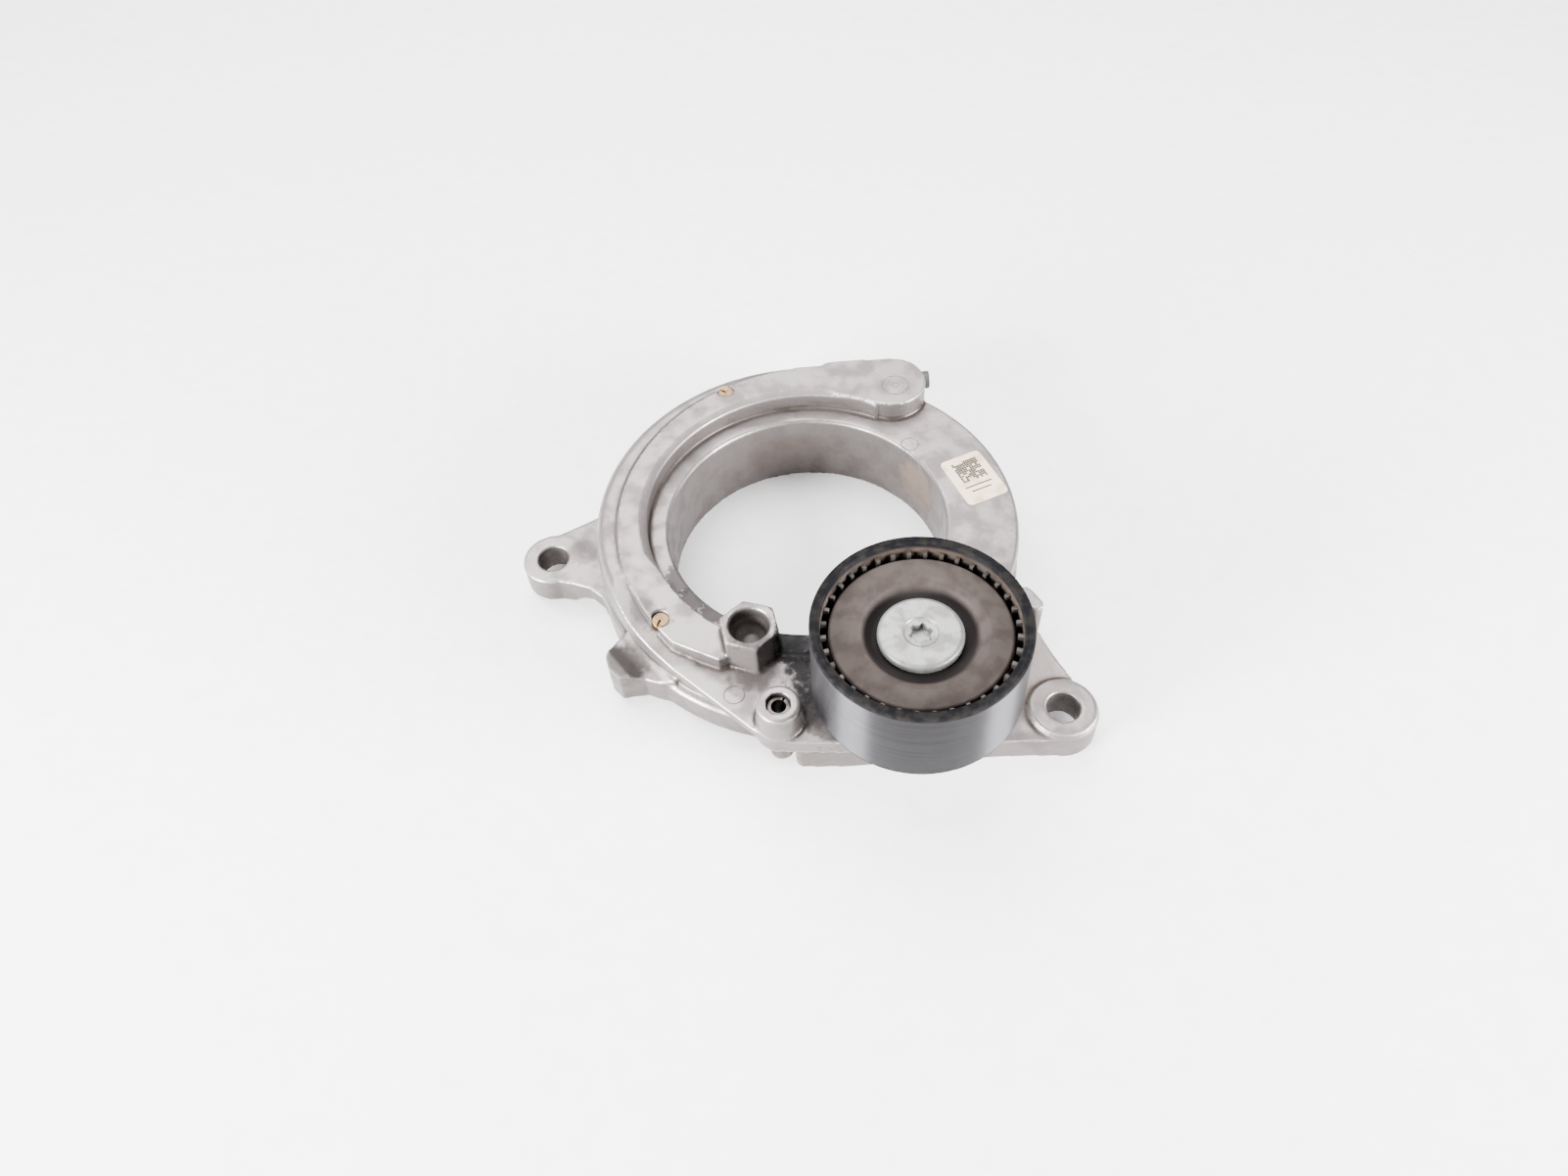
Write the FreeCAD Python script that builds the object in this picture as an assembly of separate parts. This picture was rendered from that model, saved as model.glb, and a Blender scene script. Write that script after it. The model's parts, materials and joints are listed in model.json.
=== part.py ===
"""Ring-type accessory belt tensioner: fixed base, sprung swing arm and smooth idler pulley.

Millimetres. The origin is on the arm's pivot axis, level with the lowest face of the hub.
+Z runs up the pivot axis, towards the pulley. The two mounting ears lie on -X and +X -Y.
"""
import FreeCAD, Part
import os
from math import cos, hypot, pi, radians, sin

os.makedirs("parts", exist_ok=True)

# ---- driving dimensions ----
Z = FreeCAD.Vector(0, 0, 1)
FLAT_Z = 26.0                # top face of the arm's flat ring
PLATE_Z = 20.0               # underside of the arm's ring plate
RING_R = 67.0                # outside of the arm's ring
BORE_R = 44.2                # clear bore through the hub
LEDGE_R = 50.5               # inside wall of the raised spring housing
PLATEAU_Z = FLAT_Z + 7.0     # top of the raised housing
BAND_Z = FLAT_Z + 5.8        # top of the rounded band outside the plateau
LOW_FLAT_Z = FLAT_Z - 2.8    # machined flat round the hexagon and the pin boss
ARM_UNDER_Z = 17.5           # underside of the pulley end of the arm
PLATEAU_CIRCLE = (6.3, -2.0, 65.8)
PLATEAU_END = (33.3, 53.2, 11.4)
HOUSING_FROM, HOUSING_TO = 58.0, 246.0
FLOOR_GAP = 2.0              # ears and base flange stand this far above the hub's lowest face

HUB_R = 47.75
HUB_STEP_R = 46.6
HUB_STEP_Z = 3.0
BUSH_R = 49.5
SLEEVE_R = 52.3
WEB_TOP_Z = 18.5
WEB_T = 3.0
BASE_R = 67.8
BASE_WALL_R = 65.2
BASE_WALL_IN_R = 62.4
EAR_TOP_Z = 12.0

SPRING_PATH_R = 56.4
SPRING_OD = 7.6
SPRING_WIRE = 1.6
SPRING_Z = 23.2
SPRING_FROM, SPRING_TO = 66.5, 218.0
SPRING_COILS = 36
CHANNEL_IN_R, CHANNEL_OUT_R = 52.3, 61.2
CHANNEL_ROOF_Z = 28.3
SEAT_DEG = 2.6
FIXED_LUG_DEG = 5.0
SHELL_FROM, SHELL_TO = 104.5, 221.0
STUD_R = 2.4
STUD_PATH_R = 59.6
STUD_ANGLES = (113.3, 219.0)

HEX_AF = 16.0
HEX_AT = (-19.8, -45.9)
HEX_TURN = 39.0
HEX_TOP_Z = FLAT_Z + 9.0
PIN_AT = (-13.0, -71.5)
PIN_R = 3.5
PIN_BORE_R = 2.2
PIN_BOSS_R = 6.3
PIN_BOSS_TOP_Z = FLAT_Z + 6.0
PIN_LOW_Z = 6.0
TRAVEL_DEG = 34.0

PULLEY_AT = (26.7, -66.0)
PULLEY_R = 30.0
PULLEY_LOW_Z = FLAT_Z + 3.2
PULLEY_W = 28.3
PULLEY_TOP_Z = PULLEY_LOW_Z + PULLEY_W
RIM_T = 2.9
PULLEY_RIBS = 36
BEARING_OD, BEARING_ID, BEARING_W = 40.0, 17.0, 12.0
BEARING_LOW_Z = PULLEY_LOW_Z + (PULLEY_W - BEARING_W) / 2
BEARING_TOP_Z = BEARING_LOW_Z + BEARING_W
BALL_D = 6.75
BALL_COUNT = 8
INNER_SHOULDER_R, OUTER_SHOULDER_R = 11.9, 16.6
SEAL_SEAT_R, SEAL_DEPTH = 18.2, 1.3
SHIELD_R = 24.9
SHIELD_T = 1.0
SHIELD_TOP_Z = PULLEY_TOP_Z - 3.6
BOLT_HEAD_R = 11.8
BOLT_HEAD_T = 3.0
BOLT_R = 5.0
TORX_R = 3.38

EAR_HOLE_R = 5.0
LEFT_EAR = (-84.0, 4.0)
RIGHT_EAR = (70.0, -68.3)
LEFT_EAR_R = 10.0
EAR_ARCH_R = 9.0             # arch under the web between the left ear and the ring
RIGHT_EAR_R = 10.6
RIGHT_BOSS_R = 10.0
RIGHT_BOSS_TOP_Z = 13.0
STOP_GAP = 0.3
HOOK_AT_DEG = 214.5
HOOK_SCOOP_R = 69.3
HOOK_TOP_Z = 14.0

LABEL_AT = (55.4, 12.4)
LABEL_SIZE = (14.4, 20.4)
LABEL_TURN = 20.5


# ---- shape helpers ----
def vec(x, y, z=0.0):
    return FreeCAD.Vector(x, y, z)


def polar(radius, angle_deg, z=0.0):
    return vec(radius * cos(radians(angle_deg)), radius * sin(radians(angle_deg)), z)


def disc(centre, radius, low, high):
    return Part.makeCylinder(radius, high - low, vec(centre[0], centre[1], low), Z)


def ring(inner, outer, low, high, centre=(0.0, 0.0)):
    return disc(centre, outer, low, high).cut(disc(centre, inner, low - 1, high + 1))


def prism(points, low, high):
    corners = [vec(x, y, low) for x, y in points]
    face = Part.Face(Part.makePolygon(corners + corners[:1]))
    return face.extrude(vec(0, 0, high - low))


def turned(profile, centre=(0.0, 0.0), start=0.0, sweep=360.0):
    """Solid of revolution of an (r, z) polygon about a vertical axis through centre."""
    corners = [vec(r, 0, z) for r, z in profile]
    face = Part.Face(Part.makePolygon(corners + corners[:1]))
    face.rotate(vec(0, 0), Z, start)
    solid = face.revolve(vec(0, 0), Z, sweep)
    solid.translate(vec(centre[0], centre[1]))
    return solid


def sector(inner, outer, low, high, start, end):
    return turned([(inner, low), (outer, low), (outer, high), (inner, high)], start=start, sweep=end - start)


def tangent_web(centre_a, radius_a, centre_b, radius_b, low, high):
    """Plate bounded by two discs and their common outer tangents."""
    gap = vec(centre_b[0] - centre_a[0], centre_b[1] - centre_a[1])
    length = gap.Length
    along = gap.normalize()
    across = vec(-along.y, along.x)
    tilt = (radius_a - radius_b) / length
    cross = (1 - tilt * tilt) ** 0.5
    corners = []
    for side, first, second in ((1, centre_a, centre_b), (-1, centre_b, centre_a)):
        for centre in (first, second):
            radius = radius_a if centre is centre_a else radius_b
            normal = along * tilt + across * (side * cross)
            corners.append((centre[0] + normal.x * radius, centre[1] + normal.y * radius))
    plate = prism(corners, low, high)
    return plate.multiFuse([disc(centre_a, radius_a, low, high), disc(centre_b, radius_b, low, high)])


def rounded(shape, radius, chosen):
    """Round the edges that chosen() picks."""
    return shape.makeFillet(radius, [edge for edge in shape.Edges if chosen(edge)])


def cleaned(shape):
    shape = shape.removeSplitter()
    return shape.Solids[0] if len(shape.Solids) == 1 else shape


def save(name, shape):
    shape.exportStep(f"parts/{name}.step")
    print(name, "solids", len(shape.Solids), "valid", shape.isValid(), "volume", round(shape.Volume, 1))


# ---- arm ----
def sloped_cut(start_y, start_z, slope):
    """Everything above a plane that falls towards -Y from the line y = start_y, z = start_z."""
    far_y = -100.0
    far_z = start_z - slope * (start_y - far_y)
    corners = [vec(-110, start_y, start_z), vec(-110, far_y, far_z), vec(-110, far_y, 60), vec(-110, start_y, 60)]
    return Part.Face(Part.makePolygon(corners + corners[:1])).extrude(vec(200, 0, 0))


def plateau_body():
    x, y, radius = PLATEAU_CIRCLE
    wide = disc((x, y), radius, PLATE_Z, PLATEAU_Z)
    profile = [(LEDGE_R, PLATE_Z), (80, PLATE_Z), (80, PLATEAU_Z), (LEDGE_R + 2.4, PLATEAU_Z), (LEDGE_R, PLATEAU_Z - 1.1)]
    arc = wide.common(turned(profile, start=HOUSING_FROM, sweep=HOUSING_TO - HOUSING_FROM))
    arc = arc.common(disc((0, 0), RING_R - 0.6, PLATE_Z, PLATEAU_Z))
    end_x, end_y, end_r = PLATEAU_END
    body = arc.fuse(tangent_web((15.0, 57.5), 8.0, (end_x, end_y), end_r, PLATE_Z, PLATEAU_Z))
    corner_x, corner_y = HEX_AT[0] - 6.7, HEX_AT[1] - 6.0
    beyond = prism([(-42.5, -45.9), (-29.5, -52.6), (corner_x, corner_y), (-20, -50), (-20, -90), (-55, -59.4)],
                   PLATE_Z - 1, PLATEAU_Z + 1)
    return cleaned(body.cut([sloped_cut(-15.0, PLATEAU_Z, 0.128), beyond]))


def band_body():
    profile = [(LEDGE_R, PLATE_Z), (RING_R, PLATE_Z), (RING_R, 27.0), (66.5, 29.2), (65.6, 30.7), (64.4, 31.5),
               (63.2, BAND_Z), (LEDGE_R, BAND_Z)]
    band = turned(profile, start=76.0, sweep=158.0)
    return cleaned(band.cut(sloped_cut(-22.0, BAND_Z, 0.3)))


def arm_plates():
    ledge = ring(HUB_R - 1, LEDGE_R + 0.2, PLATE_Z, FLAT_Z)
    flat = turned([(LEDGE_R - 0.2, PLATE_Z), (RING_R, PLATE_Z), (RING_R, FLAT_Z - 0.9), (RING_R - 0.3, FLAT_Z - 0.3),
                   (RING_R - 0.9, FLAT_Z), (LEDGE_R - 0.2, FLAT_Z)], start=-48, sweep=128)
    low = sector(HUB_R - 1, RING_R, PLATE_Z, LOW_FLAT_Z, 200, 314)
    tangent = RING_R / 2 ** 0.5
    boss_edge = PIN_BOSS_R + 1.0
    skin = prism([(-tangent, -tangent), (PIN_AT[0] - boss_edge / 2 ** 0.5, PIN_AT[1] - boss_edge / 2 ** 0.5),
                  (PIN_AT[0] + 8, PIN_AT[1] + 10), (-20, -45)], PLATE_Z, LOW_FLAT_Z)
    tail = tangent_web(PIN_AT, boss_edge, PULLEY_AT, 17.0, ARM_UNDER_Z, LOW_FLAT_Z)
    neck = tangent_web((0, -56), 8.0, PULLEY_AT, 17.0, PLATE_Z, LOW_FLAT_Z)
    nub = disc(polar(66.2, 79)[:2], 2.6, PLATE_Z, BAND_Z - 1)
    return [ledge, flat, low, skin, tail, neck, nub]


def arm_bosses():
    hexagon = [(HEX_AT[0] + polar(HEX_AF / 3 ** 0.5, HEX_TURN + 60 * i).x,
                HEX_AT[1] + polar(HEX_AF / 3 ** 0.5, HEX_TURN + 60 * i).y) for i in range(6)]
    hex_boss = prism(hexagon, LOW_FLAT_Z - 1.5, HEX_TOP_Z)
    crown = turned([(0, PLATE_Z), (9.4, PLATE_Z), (9.4, HEX_TOP_Z - 0.7), (8.3, HEX_TOP_Z), (0, HEX_TOP_Z)], HEX_AT)
    hex_boss = hex_boss.common(crown)
    pin_boss = turned([(0, ARM_UNDER_Z), (7.2, ARM_UNDER_Z), (7.0, LOW_FLAT_Z), (PIN_BOSS_R, PIN_BOSS_TOP_Z - 0.9),
                       (PIN_BOSS_R - 0.25, PIN_BOSS_TOP_Z - 0.25), (PIN_BOSS_R - 0.9, PIN_BOSS_TOP_Z),
                       (0, PIN_BOSS_TOP_Z)], PIN_AT)
    seat_z = BEARING_LOW_Z - SHIELD_T
    pulley_boss = turned([(0, ARM_UNDER_Z), (17, ARM_UNDER_Z), (16.5, LOW_FLAT_Z), (12.5, LOW_FLAT_Z + 3),
                          (10.8, seat_z), (0, seat_z)], PULLEY_AT)
    return [hex_boss, pin_boss, pulley_boss]


def hub_body():
    return turned([(BORE_R, 0), (HUB_R - 0.4, 0), (HUB_R - 0.4, 0.9), (HUB_STEP_R, 0.9),
                   (HUB_STEP_R, HUB_STEP_Z), (HUB_R, HUB_STEP_Z), (HUB_R, PLATE_Z + 1), (LEDGE_R, PLATE_Z + 1),
                   (LEDGE_R, FLAT_Z), (BORE_R + 0.8, FLAT_Z), (BORE_R, FLAT_Z - 0.8)])


def spring_channel():
    """Space inside the raised housing, open downwards, for the spring and the base's lug."""
    main = sector(CHANNEL_IN_R, CHANNEL_OUT_R, ARM_UNDER_Z - 1, CHANNEL_ROOF_Z, 55.5, 221.6)
    side = sector(CHANNEL_IN_R, CHANNEL_OUT_R, ARM_UNDER_Z - 1, FLAT_Z - 3.4, -38, 52.5)
    return [main, side]


def ejector_mark(centre, radius, top_z):
    return ring(radius - 0.25, radius, top_z - 0.22, top_z + 1, centre)


def arm_casting():
    arm = hub_body().multiFuse([plateau_body(), band_body()] + arm_plates())
    arm = arm.cut(disc((0, 0), BORE_R, -1, 40)).multiFuse(arm_bosses())
    cuts = [ring(HUB_R, BASE_WALL_R + 0.8, 0, PLATE_Z), disc((0, 0), BORE_R, -1, FLAT_Z + 0.3)]
    cuts += spring_channel()
    cuts += [disc(polar(STUD_PATH_R, angle)[:2], STUD_R + 0.25, CHANNEL_ROOF_Z - 2, 40) for angle in STUD_ANGLES]
    cuts.append(turned([(0, 26.2), (2.6, 26.9), (4.7, 29.0), (5.7, 31.8), (6.0, HEX_TOP_Z - 0.5),
                        (6.5, HEX_TOP_Z + 0.1), (0, HEX_TOP_Z + 0.1)], HEX_AT))
    cuts.append(disc(PIN_AT, PIN_R, 0, 60))
    cuts.append(disc(PULLEY_AT, BOLT_R, ARM_UNDER_Z - 1, 60))
    cuts.append(plug_shape())
    cuts.append(ejector_mark((-25.7, -62.0), 3.1, LOW_FLAT_Z))
    cuts.append(ejector_mark((36.7, 29.5), 3.0, FLAT_Z))
    cuts.append(ejector_mark((34.2, 51.0), 4.6, PLATEAU_Z))
    cuts.append(ejector_mark((34.2, 51.0), 1.2, PLATEAU_Z))
    return cleaned(arm.cut(cuts))


def plug_shape():
    """Black plug in the side of the housing's round end, where the spring channel is closed."""
    start = vec(PLATEAU_END[0] + 5.6, PLATEAU_END[1] + 3.6, FLAT_Z + 2.9)
    return Part.makeCylinder(3.0, 7.6, start, vec(1, 0, 0))


# ---- base ----
def base_casting():
    sleeve = ring(BUSH_R, SLEEVE_R, 4.4, WEB_TOP_Z)
    foot = ring(BUSH_R, 56.0, 4.4, 6.6)
    web = ring(BUSH_R, BASE_WALL_R, WEB_TOP_Z - WEB_T, WEB_TOP_Z)
    wall = turned([(BASE_WALL_IN_R, FLOOR_GAP), (BASE_R - 0.8, FLOOR_GAP), (BASE_R, FLOOR_GAP + 0.8),
                   (BASE_R, EAR_TOP_Z - 0.8), (BASE_R - 0.8, EAR_TOP_Z), (BASE_WALL_R, EAR_TOP_Z + 0.6),
                   (BASE_WALL_R, WEB_TOP_Z - 0.4), (BASE_WALL_R - 0.4, WEB_TOP_Z), (BASE_WALL_IN_R, WEB_TOP_Z)])
    ribs = [rib(i * 30.0 + 15.0) for i in range(12)]
    lug = sector(CHANNEL_IN_R + 0.4, CHANNEL_OUT_R - 0.3, WEB_TOP_Z - 0.5, SPRING_Z + 3.6,
                 SPRING_FROM - SEAT_DEG - FIXED_LUG_DEG, SPRING_FROM - SEAT_DEG)
    base = sleeve.multiFuse([foot, web, wall, lug] + ribs + left_ear() + right_plate() + [hook_lug(), edge_nub()])
    cuts = [disc((0, 0), BUSH_R, 0, 40), disc(LEFT_EAR, EAR_HOLE_R, 0, 40), disc(RIGHT_EAR, EAR_HOLE_R, 0, 40)]
    cuts.append(scoop())
    cuts.append(ring(SLEEVE_R, BASE_WALL_IN_R, FLOOR_GAP - 1, 6.0).cut(foot))
    return cleaned(base.cut(cuts))


def rib(angle):
    block = Part.makeBox(BASE_WALL_IN_R - SLEEVE_R + 1, 1.8, 9.7, vec(SLEEVE_R - 0.5, -0.9, 6.3))
    block.rotate(vec(0, 0), Z, angle)
    return block


def left_ear():
    x, y = LEFT_EAR
    pad = disc(LEFT_EAR, LEFT_EAR_R, FLOOR_GAP, EAR_TOP_Z)
    plate = prism([(x + 1, y + LEFT_EAR_R - 0.1), (-71.5, 19.6), (-62.5, 25.5), (-58, 0), (-64.5, -19.5),
                   (-67.5, -13.5), (-71.5, -9.6), (-77, -7.2), (x + 2, y - LEFT_EAR_R + 0.2)],
                  FLOOR_GAP, EAR_TOP_Z - 0.15)
    bridge = disc((-62.8, 0), 1.0, FLOOR_GAP, EAR_TOP_Z - 0.15)
    outside = ring(BASE_WALL_IN_R, 120, 0, 30)
    arch = Part.makeCylinder(EAR_ARCH_R, 80, vec(-70.0, -40, FLOOR_GAP + 3.6 - EAR_ARCH_R), vec(0, 1, 0))
    return [pad, plate.fuse(bridge).common(outside).cut(arch.common(ring(BASE_WALL_R, 120, 0, 30)))]


def right_plate():
    x, y = RIGHT_EAR
    ear = disc(RIGHT_EAR, RIGHT_EAR_R, FLOOR_GAP, 11.4)
    boss = turned([(0, FLOOR_GAP), (RIGHT_BOSS_R, FLOOR_GAP), (RIGHT_BOSS_R, RIGHT_BOSS_TOP_Z - 0.4),
                   (RIGHT_BOSS_R - 0.4, RIGHT_BOSS_TOP_Z), (0, RIGHT_BOSS_TOP_Z)], RIGHT_EAR)
    stop_x = PIN_AT[0] + PIN_R + STOP_GAP
    outline = [(65.8, -29.0), (68.2, -39.0), (71.3, -48.5), (75.4, -58.6), (x + 10.0, y + 3.4), (x, y),
               (x - 3.0, y - RIGHT_EAR_R + 0.4), (56.0, -77.6), (30.0, -77.0), (4.6, -76.6), (stop_x + 1.6, -75.6),
               (stop_x + 0.3, -74.6), (stop_x, -73.0), (stop_x, -64.5), (20, -60.5), (50, -40), (60, -26)]
    plate = prism(outline, FLOOR_GAP, 11.0).common(ring(BASE_WALL_IN_R, 130, 0, 30))
    return [ear, boss, plate]


def hook_lug():
    """Lug that stands out further towards its lower end, ending in a lip beyond the trough."""
    outline = [(-56.0, -28.0), (-62.3, -31.0), (-64.3, -34.5), (-65.3, -38.6), (-64.2, -43.2), (-61.0, -46.9),
               (-57.6, -46.6), (-53.6, -46.2), (-48.9, -48.4), (-44.0, -50.0), (-40.0, -42.0)]
    return prism(outline, FLOOR_GAP, HOOK_TOP_Z).common(ring(BASE_WALL_IN_R + 1, 120, 0, 30))


def scoop():
    """Round-bottomed trough between the hook lug's outer lip and the base wall."""
    middle = polar(HOOK_SCOOP_R, HOOK_AT_DEG, HOOK_TOP_Z + 2.5)
    tangent = polar(1.0, HOOK_AT_DEG + 90.0)
    start = middle - tangent * 20
    return Part.makeCylinder(5.0, 40, start, tangent).common(ring(BASE_WALL_R, 100, 0, 30))


def edge_nub():
    return tangent_web((65.6, -29.2), 3.0, (68.4, -33.0), 2.2, FLOOR_GAP, 16.5)


# ---- pivot and spring ----
def pivot_bush():
    bush = ring(HUB_R + 0.05, BUSH_R, 5.0, 18.4)
    slit = Part.makeBox(4, 1.2, 20, vec(46.5, -0.6, 2))
    return bush.cut(slit)


def damping_disc():
    disc_ring = ring(HUB_R + 0.3, 52.0, WEB_TOP_Z, PLATE_Z - 0.1)
    slots = [Part.makeBox(6, 1.4, 0.8, vec(47, -0.7, PLATE_Z - 0.6)) for _ in range(8)]
    for i, slot in enumerate(slots):
        slot.rotate(vec(0, 0), Z, i * 45.0 + 22.5)
    return disc_ring.cut(slots)


def retaining_ring():
    plate = ring(HUB_STEP_R, 55.6, 0.95, HUB_STEP_Z)
    return rounded(plate, 0.4, lambda edge: edge.BoundBox.XLength > 110)


def thrust_washer():
    return ring(HUB_R + 0.1, 55.2, HUB_STEP_Z, 4.3)


def arc_spring():
    """Compression spring bent to the channel: one round wire swept along a coiled polyline of arcs."""
    radius = (SPRING_OD - SPRING_WIRE) / 2
    steps = SPRING_COILS * 8
    points = []
    for i in range(steps + 1):
        along = SPRING_FROM + (SPRING_TO - SPRING_FROM) * (0.012 + 0.976 * i / steps)
        phase = 2 * pi * SPRING_COILS * i / steps
        points.append(polar(SPRING_PATH_R + radius * cos(phase), along, SPRING_Z + radius * sin(phase)))
    curve = Part.BSplineCurve()
    curve.interpolate(points)
    path = Part.Wire(curve.toShape())
    circle = Part.makeCircle(SPRING_WIRE / 2, points[0], curve.tangent(curve.FirstParameter)[0])
    return path.makePipeShell([Part.Wire(circle)], True, True)


def spring_seat(start, end):
    plate = sector(CHANNEL_IN_R + 0.35, CHANNEL_OUT_R - 1.2, 19.1, 27.0, start, end)
    return rounded(plate, 0.5, lambda edge: abs(edge.BoundBox.ZLength) > 7)


def guide_shell():
    roof = sector(CHANNEL_IN_R + 0.3, CHANNEL_OUT_R - 0.05, 27.3, CHANNEL_ROOF_Z - 0.05, SHELL_FROM, SHELL_TO)
    side = sector(CHANNEL_OUT_R - 0.85, CHANNEL_OUT_R - 0.05, 20.0, 27.5, SHELL_FROM, SHELL_TO)
    shell = roof.fuse(side)
    for angle, top in zip(STUD_ANGLES, (PLATEAU_Z - 0.7, FLAT_Z + 3.4)):
        centre = polar(STUD_PATH_R, angle)[:2]
        stud = disc(centre, STUD_R, 27.4, top)
        inside = stud.common(disc((0, 0), CHANNEL_OUT_R - 0.05, 20, 40))
        stud = disc(centre, STUD_R, CHANNEL_ROOF_Z - 0.05, top).fuse(inside)
        slot = Part.makeBox(0.8, 2 * STUD_R, 1.4, vec(-0.4, 0, 0))
        slot.rotate(vec(0, 0), Z, angle - 60)
        slot.translate(vec(centre[0], centre[1], top - 1.0))
        shell = shell.fuse(stud.cut(slot))
    return cleaned(shell)


def stop_pin():
    """Rolled spring pin: a slit tube, its lower end the arm's stop against the base."""
    low, high = PIN_LOW_Z, PIN_BOSS_TOP_Z - 1.6
    tube = turned([(PIN_BORE_R, low), (PIN_R - 0.6, low), (PIN_R, low + 1.0), (PIN_R, high - 0.6),
                   (PIN_R - 0.4, high), (PIN_BORE_R, high)], PIN_AT)
    slit = Part.makeBox(PIN_R + 1, 0.7, 40, vec(0, -0.35, 0))
    slit.rotate(vec(0, 0), Z, 55.0)
    slit.translate(vec(PIN_AT[0], PIN_AT[1], 0))
    return tube.cut(slit)


def label_sticker():
    wide, high = LABEL_SIZE
    card = Part.makeBox(wide, high, 0.15, vec(-wide / 2, -high / 2, 0))
    card = rounded(card, 1.6, lambda edge: edge.BoundBox.ZLength > 0.1)
    card.rotate(vec(0, 0), Z, LABEL_TURN)
    card.translate(vec(LABEL_AT[0], LABEL_AT[1], FLAT_Z))
    return card


# ---- pulley ----
def pulley_rim():
    inner = PULLEY_R - RIM_T
    low, high = PULLEY_LOW_Z, PULLEY_TOP_Z
    rim = turned([(inner, low), (PULLEY_R - 0.9, low), (PULLEY_R, low + 0.9), (PULLEY_R, high - 0.9),
                  (PULLEY_R - 0.9, high), (inner + 0.5, high), (inner, high - 0.6)], PULLEY_AT)
    hub = ring(BEARING_OD / 2, 22.6, BEARING_LOW_Z - 0.6, BEARING_TOP_Z + 0.6, PULLEY_AT)
    middle = (low + high) / 2
    web = ring(BEARING_OD / 2 + 1, inner + 0.5, middle - 1.1, middle + 1.1, PULLEY_AT)
    rib_half = 8.6
    fin_half = 11.0
    ribs = []
    for i in range(PULLEY_RIBS):
        rib_plate = Part.makeBox(inner + 0.6 - 22.0, 1.1, 2 * rib_half, vec(22.0, -0.55, middle - rib_half))
        fin = Part.makeBox(inner + 0.6 - 25.4, 1.1, 2 * fin_half, vec(25.4, -0.55, middle - fin_half))
        block = rib_plate.fuse(fin)
        block.rotate(vec(0, 0), Z, i * 360.0 / PULLEY_RIBS)
        block.translate(vec(PULLEY_AT[0], PULLEY_AT[1], 0))
        ribs.append(block)
    return cleaned(rim.multiFuse([hub, web] + ribs))


def bearing_ring(inner, outer, sealed):
    plain = ring(inner, outer, BEARING_LOW_Z, BEARING_TOP_Z, PULLEY_AT)
    track = Part.makeTorus(ball_path_r(), BALL_D / 2 + 0.06, vec(*PULLEY_AT, bearing_middle()), Z)
    cuts = [track]
    for low in (BEARING_LOW_Z, BEARING_TOP_Z - SEAL_DEPTH):
        cuts.append(ring(inner - 1, SEAL_SEAT_R, low - 0.01, low + SEAL_DEPTH + 0.01, PULLEY_AT))
    return cleaned(plain.cut(cuts if sealed else [track]))


def ball_path_r():
    return (BEARING_OD + BEARING_ID) / 4


def bearing_middle():
    return (BEARING_LOW_Z + BEARING_TOP_Z) / 2


def ball_places():
    return [vec(PULLEY_AT[0], PULLEY_AT[1], bearing_middle()) + polar(ball_path_r(), i * 360.0 / BALL_COUNT)
            for i in range(BALL_COUNT)]


def bearing_balls():
    return Part.makeCompound([Part.makeSphere(BALL_D / 2, place) for place in ball_places()])


def ball_cage():
    band = ring(ball_path_r() - 1.3, ball_path_r() + 1.3, bearing_middle() - 4.1, bearing_middle() + 4.1, PULLEY_AT)
    centre = vec(PULLEY_AT[0], PULLEY_AT[1], bearing_middle())
    pockets = [Part.makeCylinder(BALL_D / 2 + 0.12, 6.0, centre + polar(ball_path_r() - 3.0, i * 360.0 / BALL_COUNT),
                                 polar(1.0, i * 360.0 / BALL_COUNT)) for i in range(BALL_COUNT)]
    return cleaned(band.cut(pockets))


def bearing_seal(low):
    return ring(INNER_SHOULDER_R + 0.4, SEAL_SEAT_R, low + 0.15, low + 1.05, PULLEY_AT)


def dust_shield_front():
    """Dished steel shield: a flat centre under the bolt head, a rounded well, and a raised outer annulus."""
    low = BEARING_TOP_Z
    top = SHIELD_TOP_Z
    well = low + 0.1
    profile = [(BOLT_R + 0.3, well), (13.6, well), (15.0, well + 0.5), (16.6, top - 1.6), (18.0, top - 1.0),
               (SHIELD_R - 0.6, top - 1.0), (SHIELD_R, top - 1.4), (SHIELD_R, top - 0.6), (SHIELD_R - 0.6, top),
               (18.4, top), (16.6, top - 0.5), (14.9, well + 1.6), (13.4, well + 1.0), (BOLT_R + 0.3, well + 1.0)]
    return turned(profile, PULLEY_AT)


def dust_shield_rear():
    high = BEARING_LOW_Z
    profile = [(BOLT_R + 0.3, high - 1.0), (12.5, high - 1.0), (15.0, high - 3.8), (SHIELD_R, high - 3.8),
               (SHIELD_R, high - 3.0), (15.5, high - 3.0), (13.1, high), (BOLT_R + 0.3, high)]
    return turned(profile, PULLEY_AT)


def pulley_spacer():
    return ring(BOLT_R + 0.2, BEARING_ID / 2, BEARING_LOW_Z, BEARING_TOP_Z + 0.1, PULLEY_AT)


def torx_recess(top):
    """Six-lobed socket: a round core with six lobes and six scallops between them."""
    core = disc((0, 0), TORX_R - 0.62, top - 2.4, top + 1)
    lobes = [disc(polar(TORX_R - 0.78, 60.0 * i)[:2], 0.78, top - 2.4, top + 1) for i in range(6)]
    bites = [disc(polar(TORX_R + 0.35, 60.0 * i + 30)[:2], 1.15, top - 3, top + 2) for i in range(6)]
    socket = core.multiFuse(lobes).cut(bites)
    socket.rotate(vec(0, 0), Z, 12)
    socket.translate(vec(PULLEY_AT[0], PULLEY_AT[1], 0))
    return socket


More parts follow.
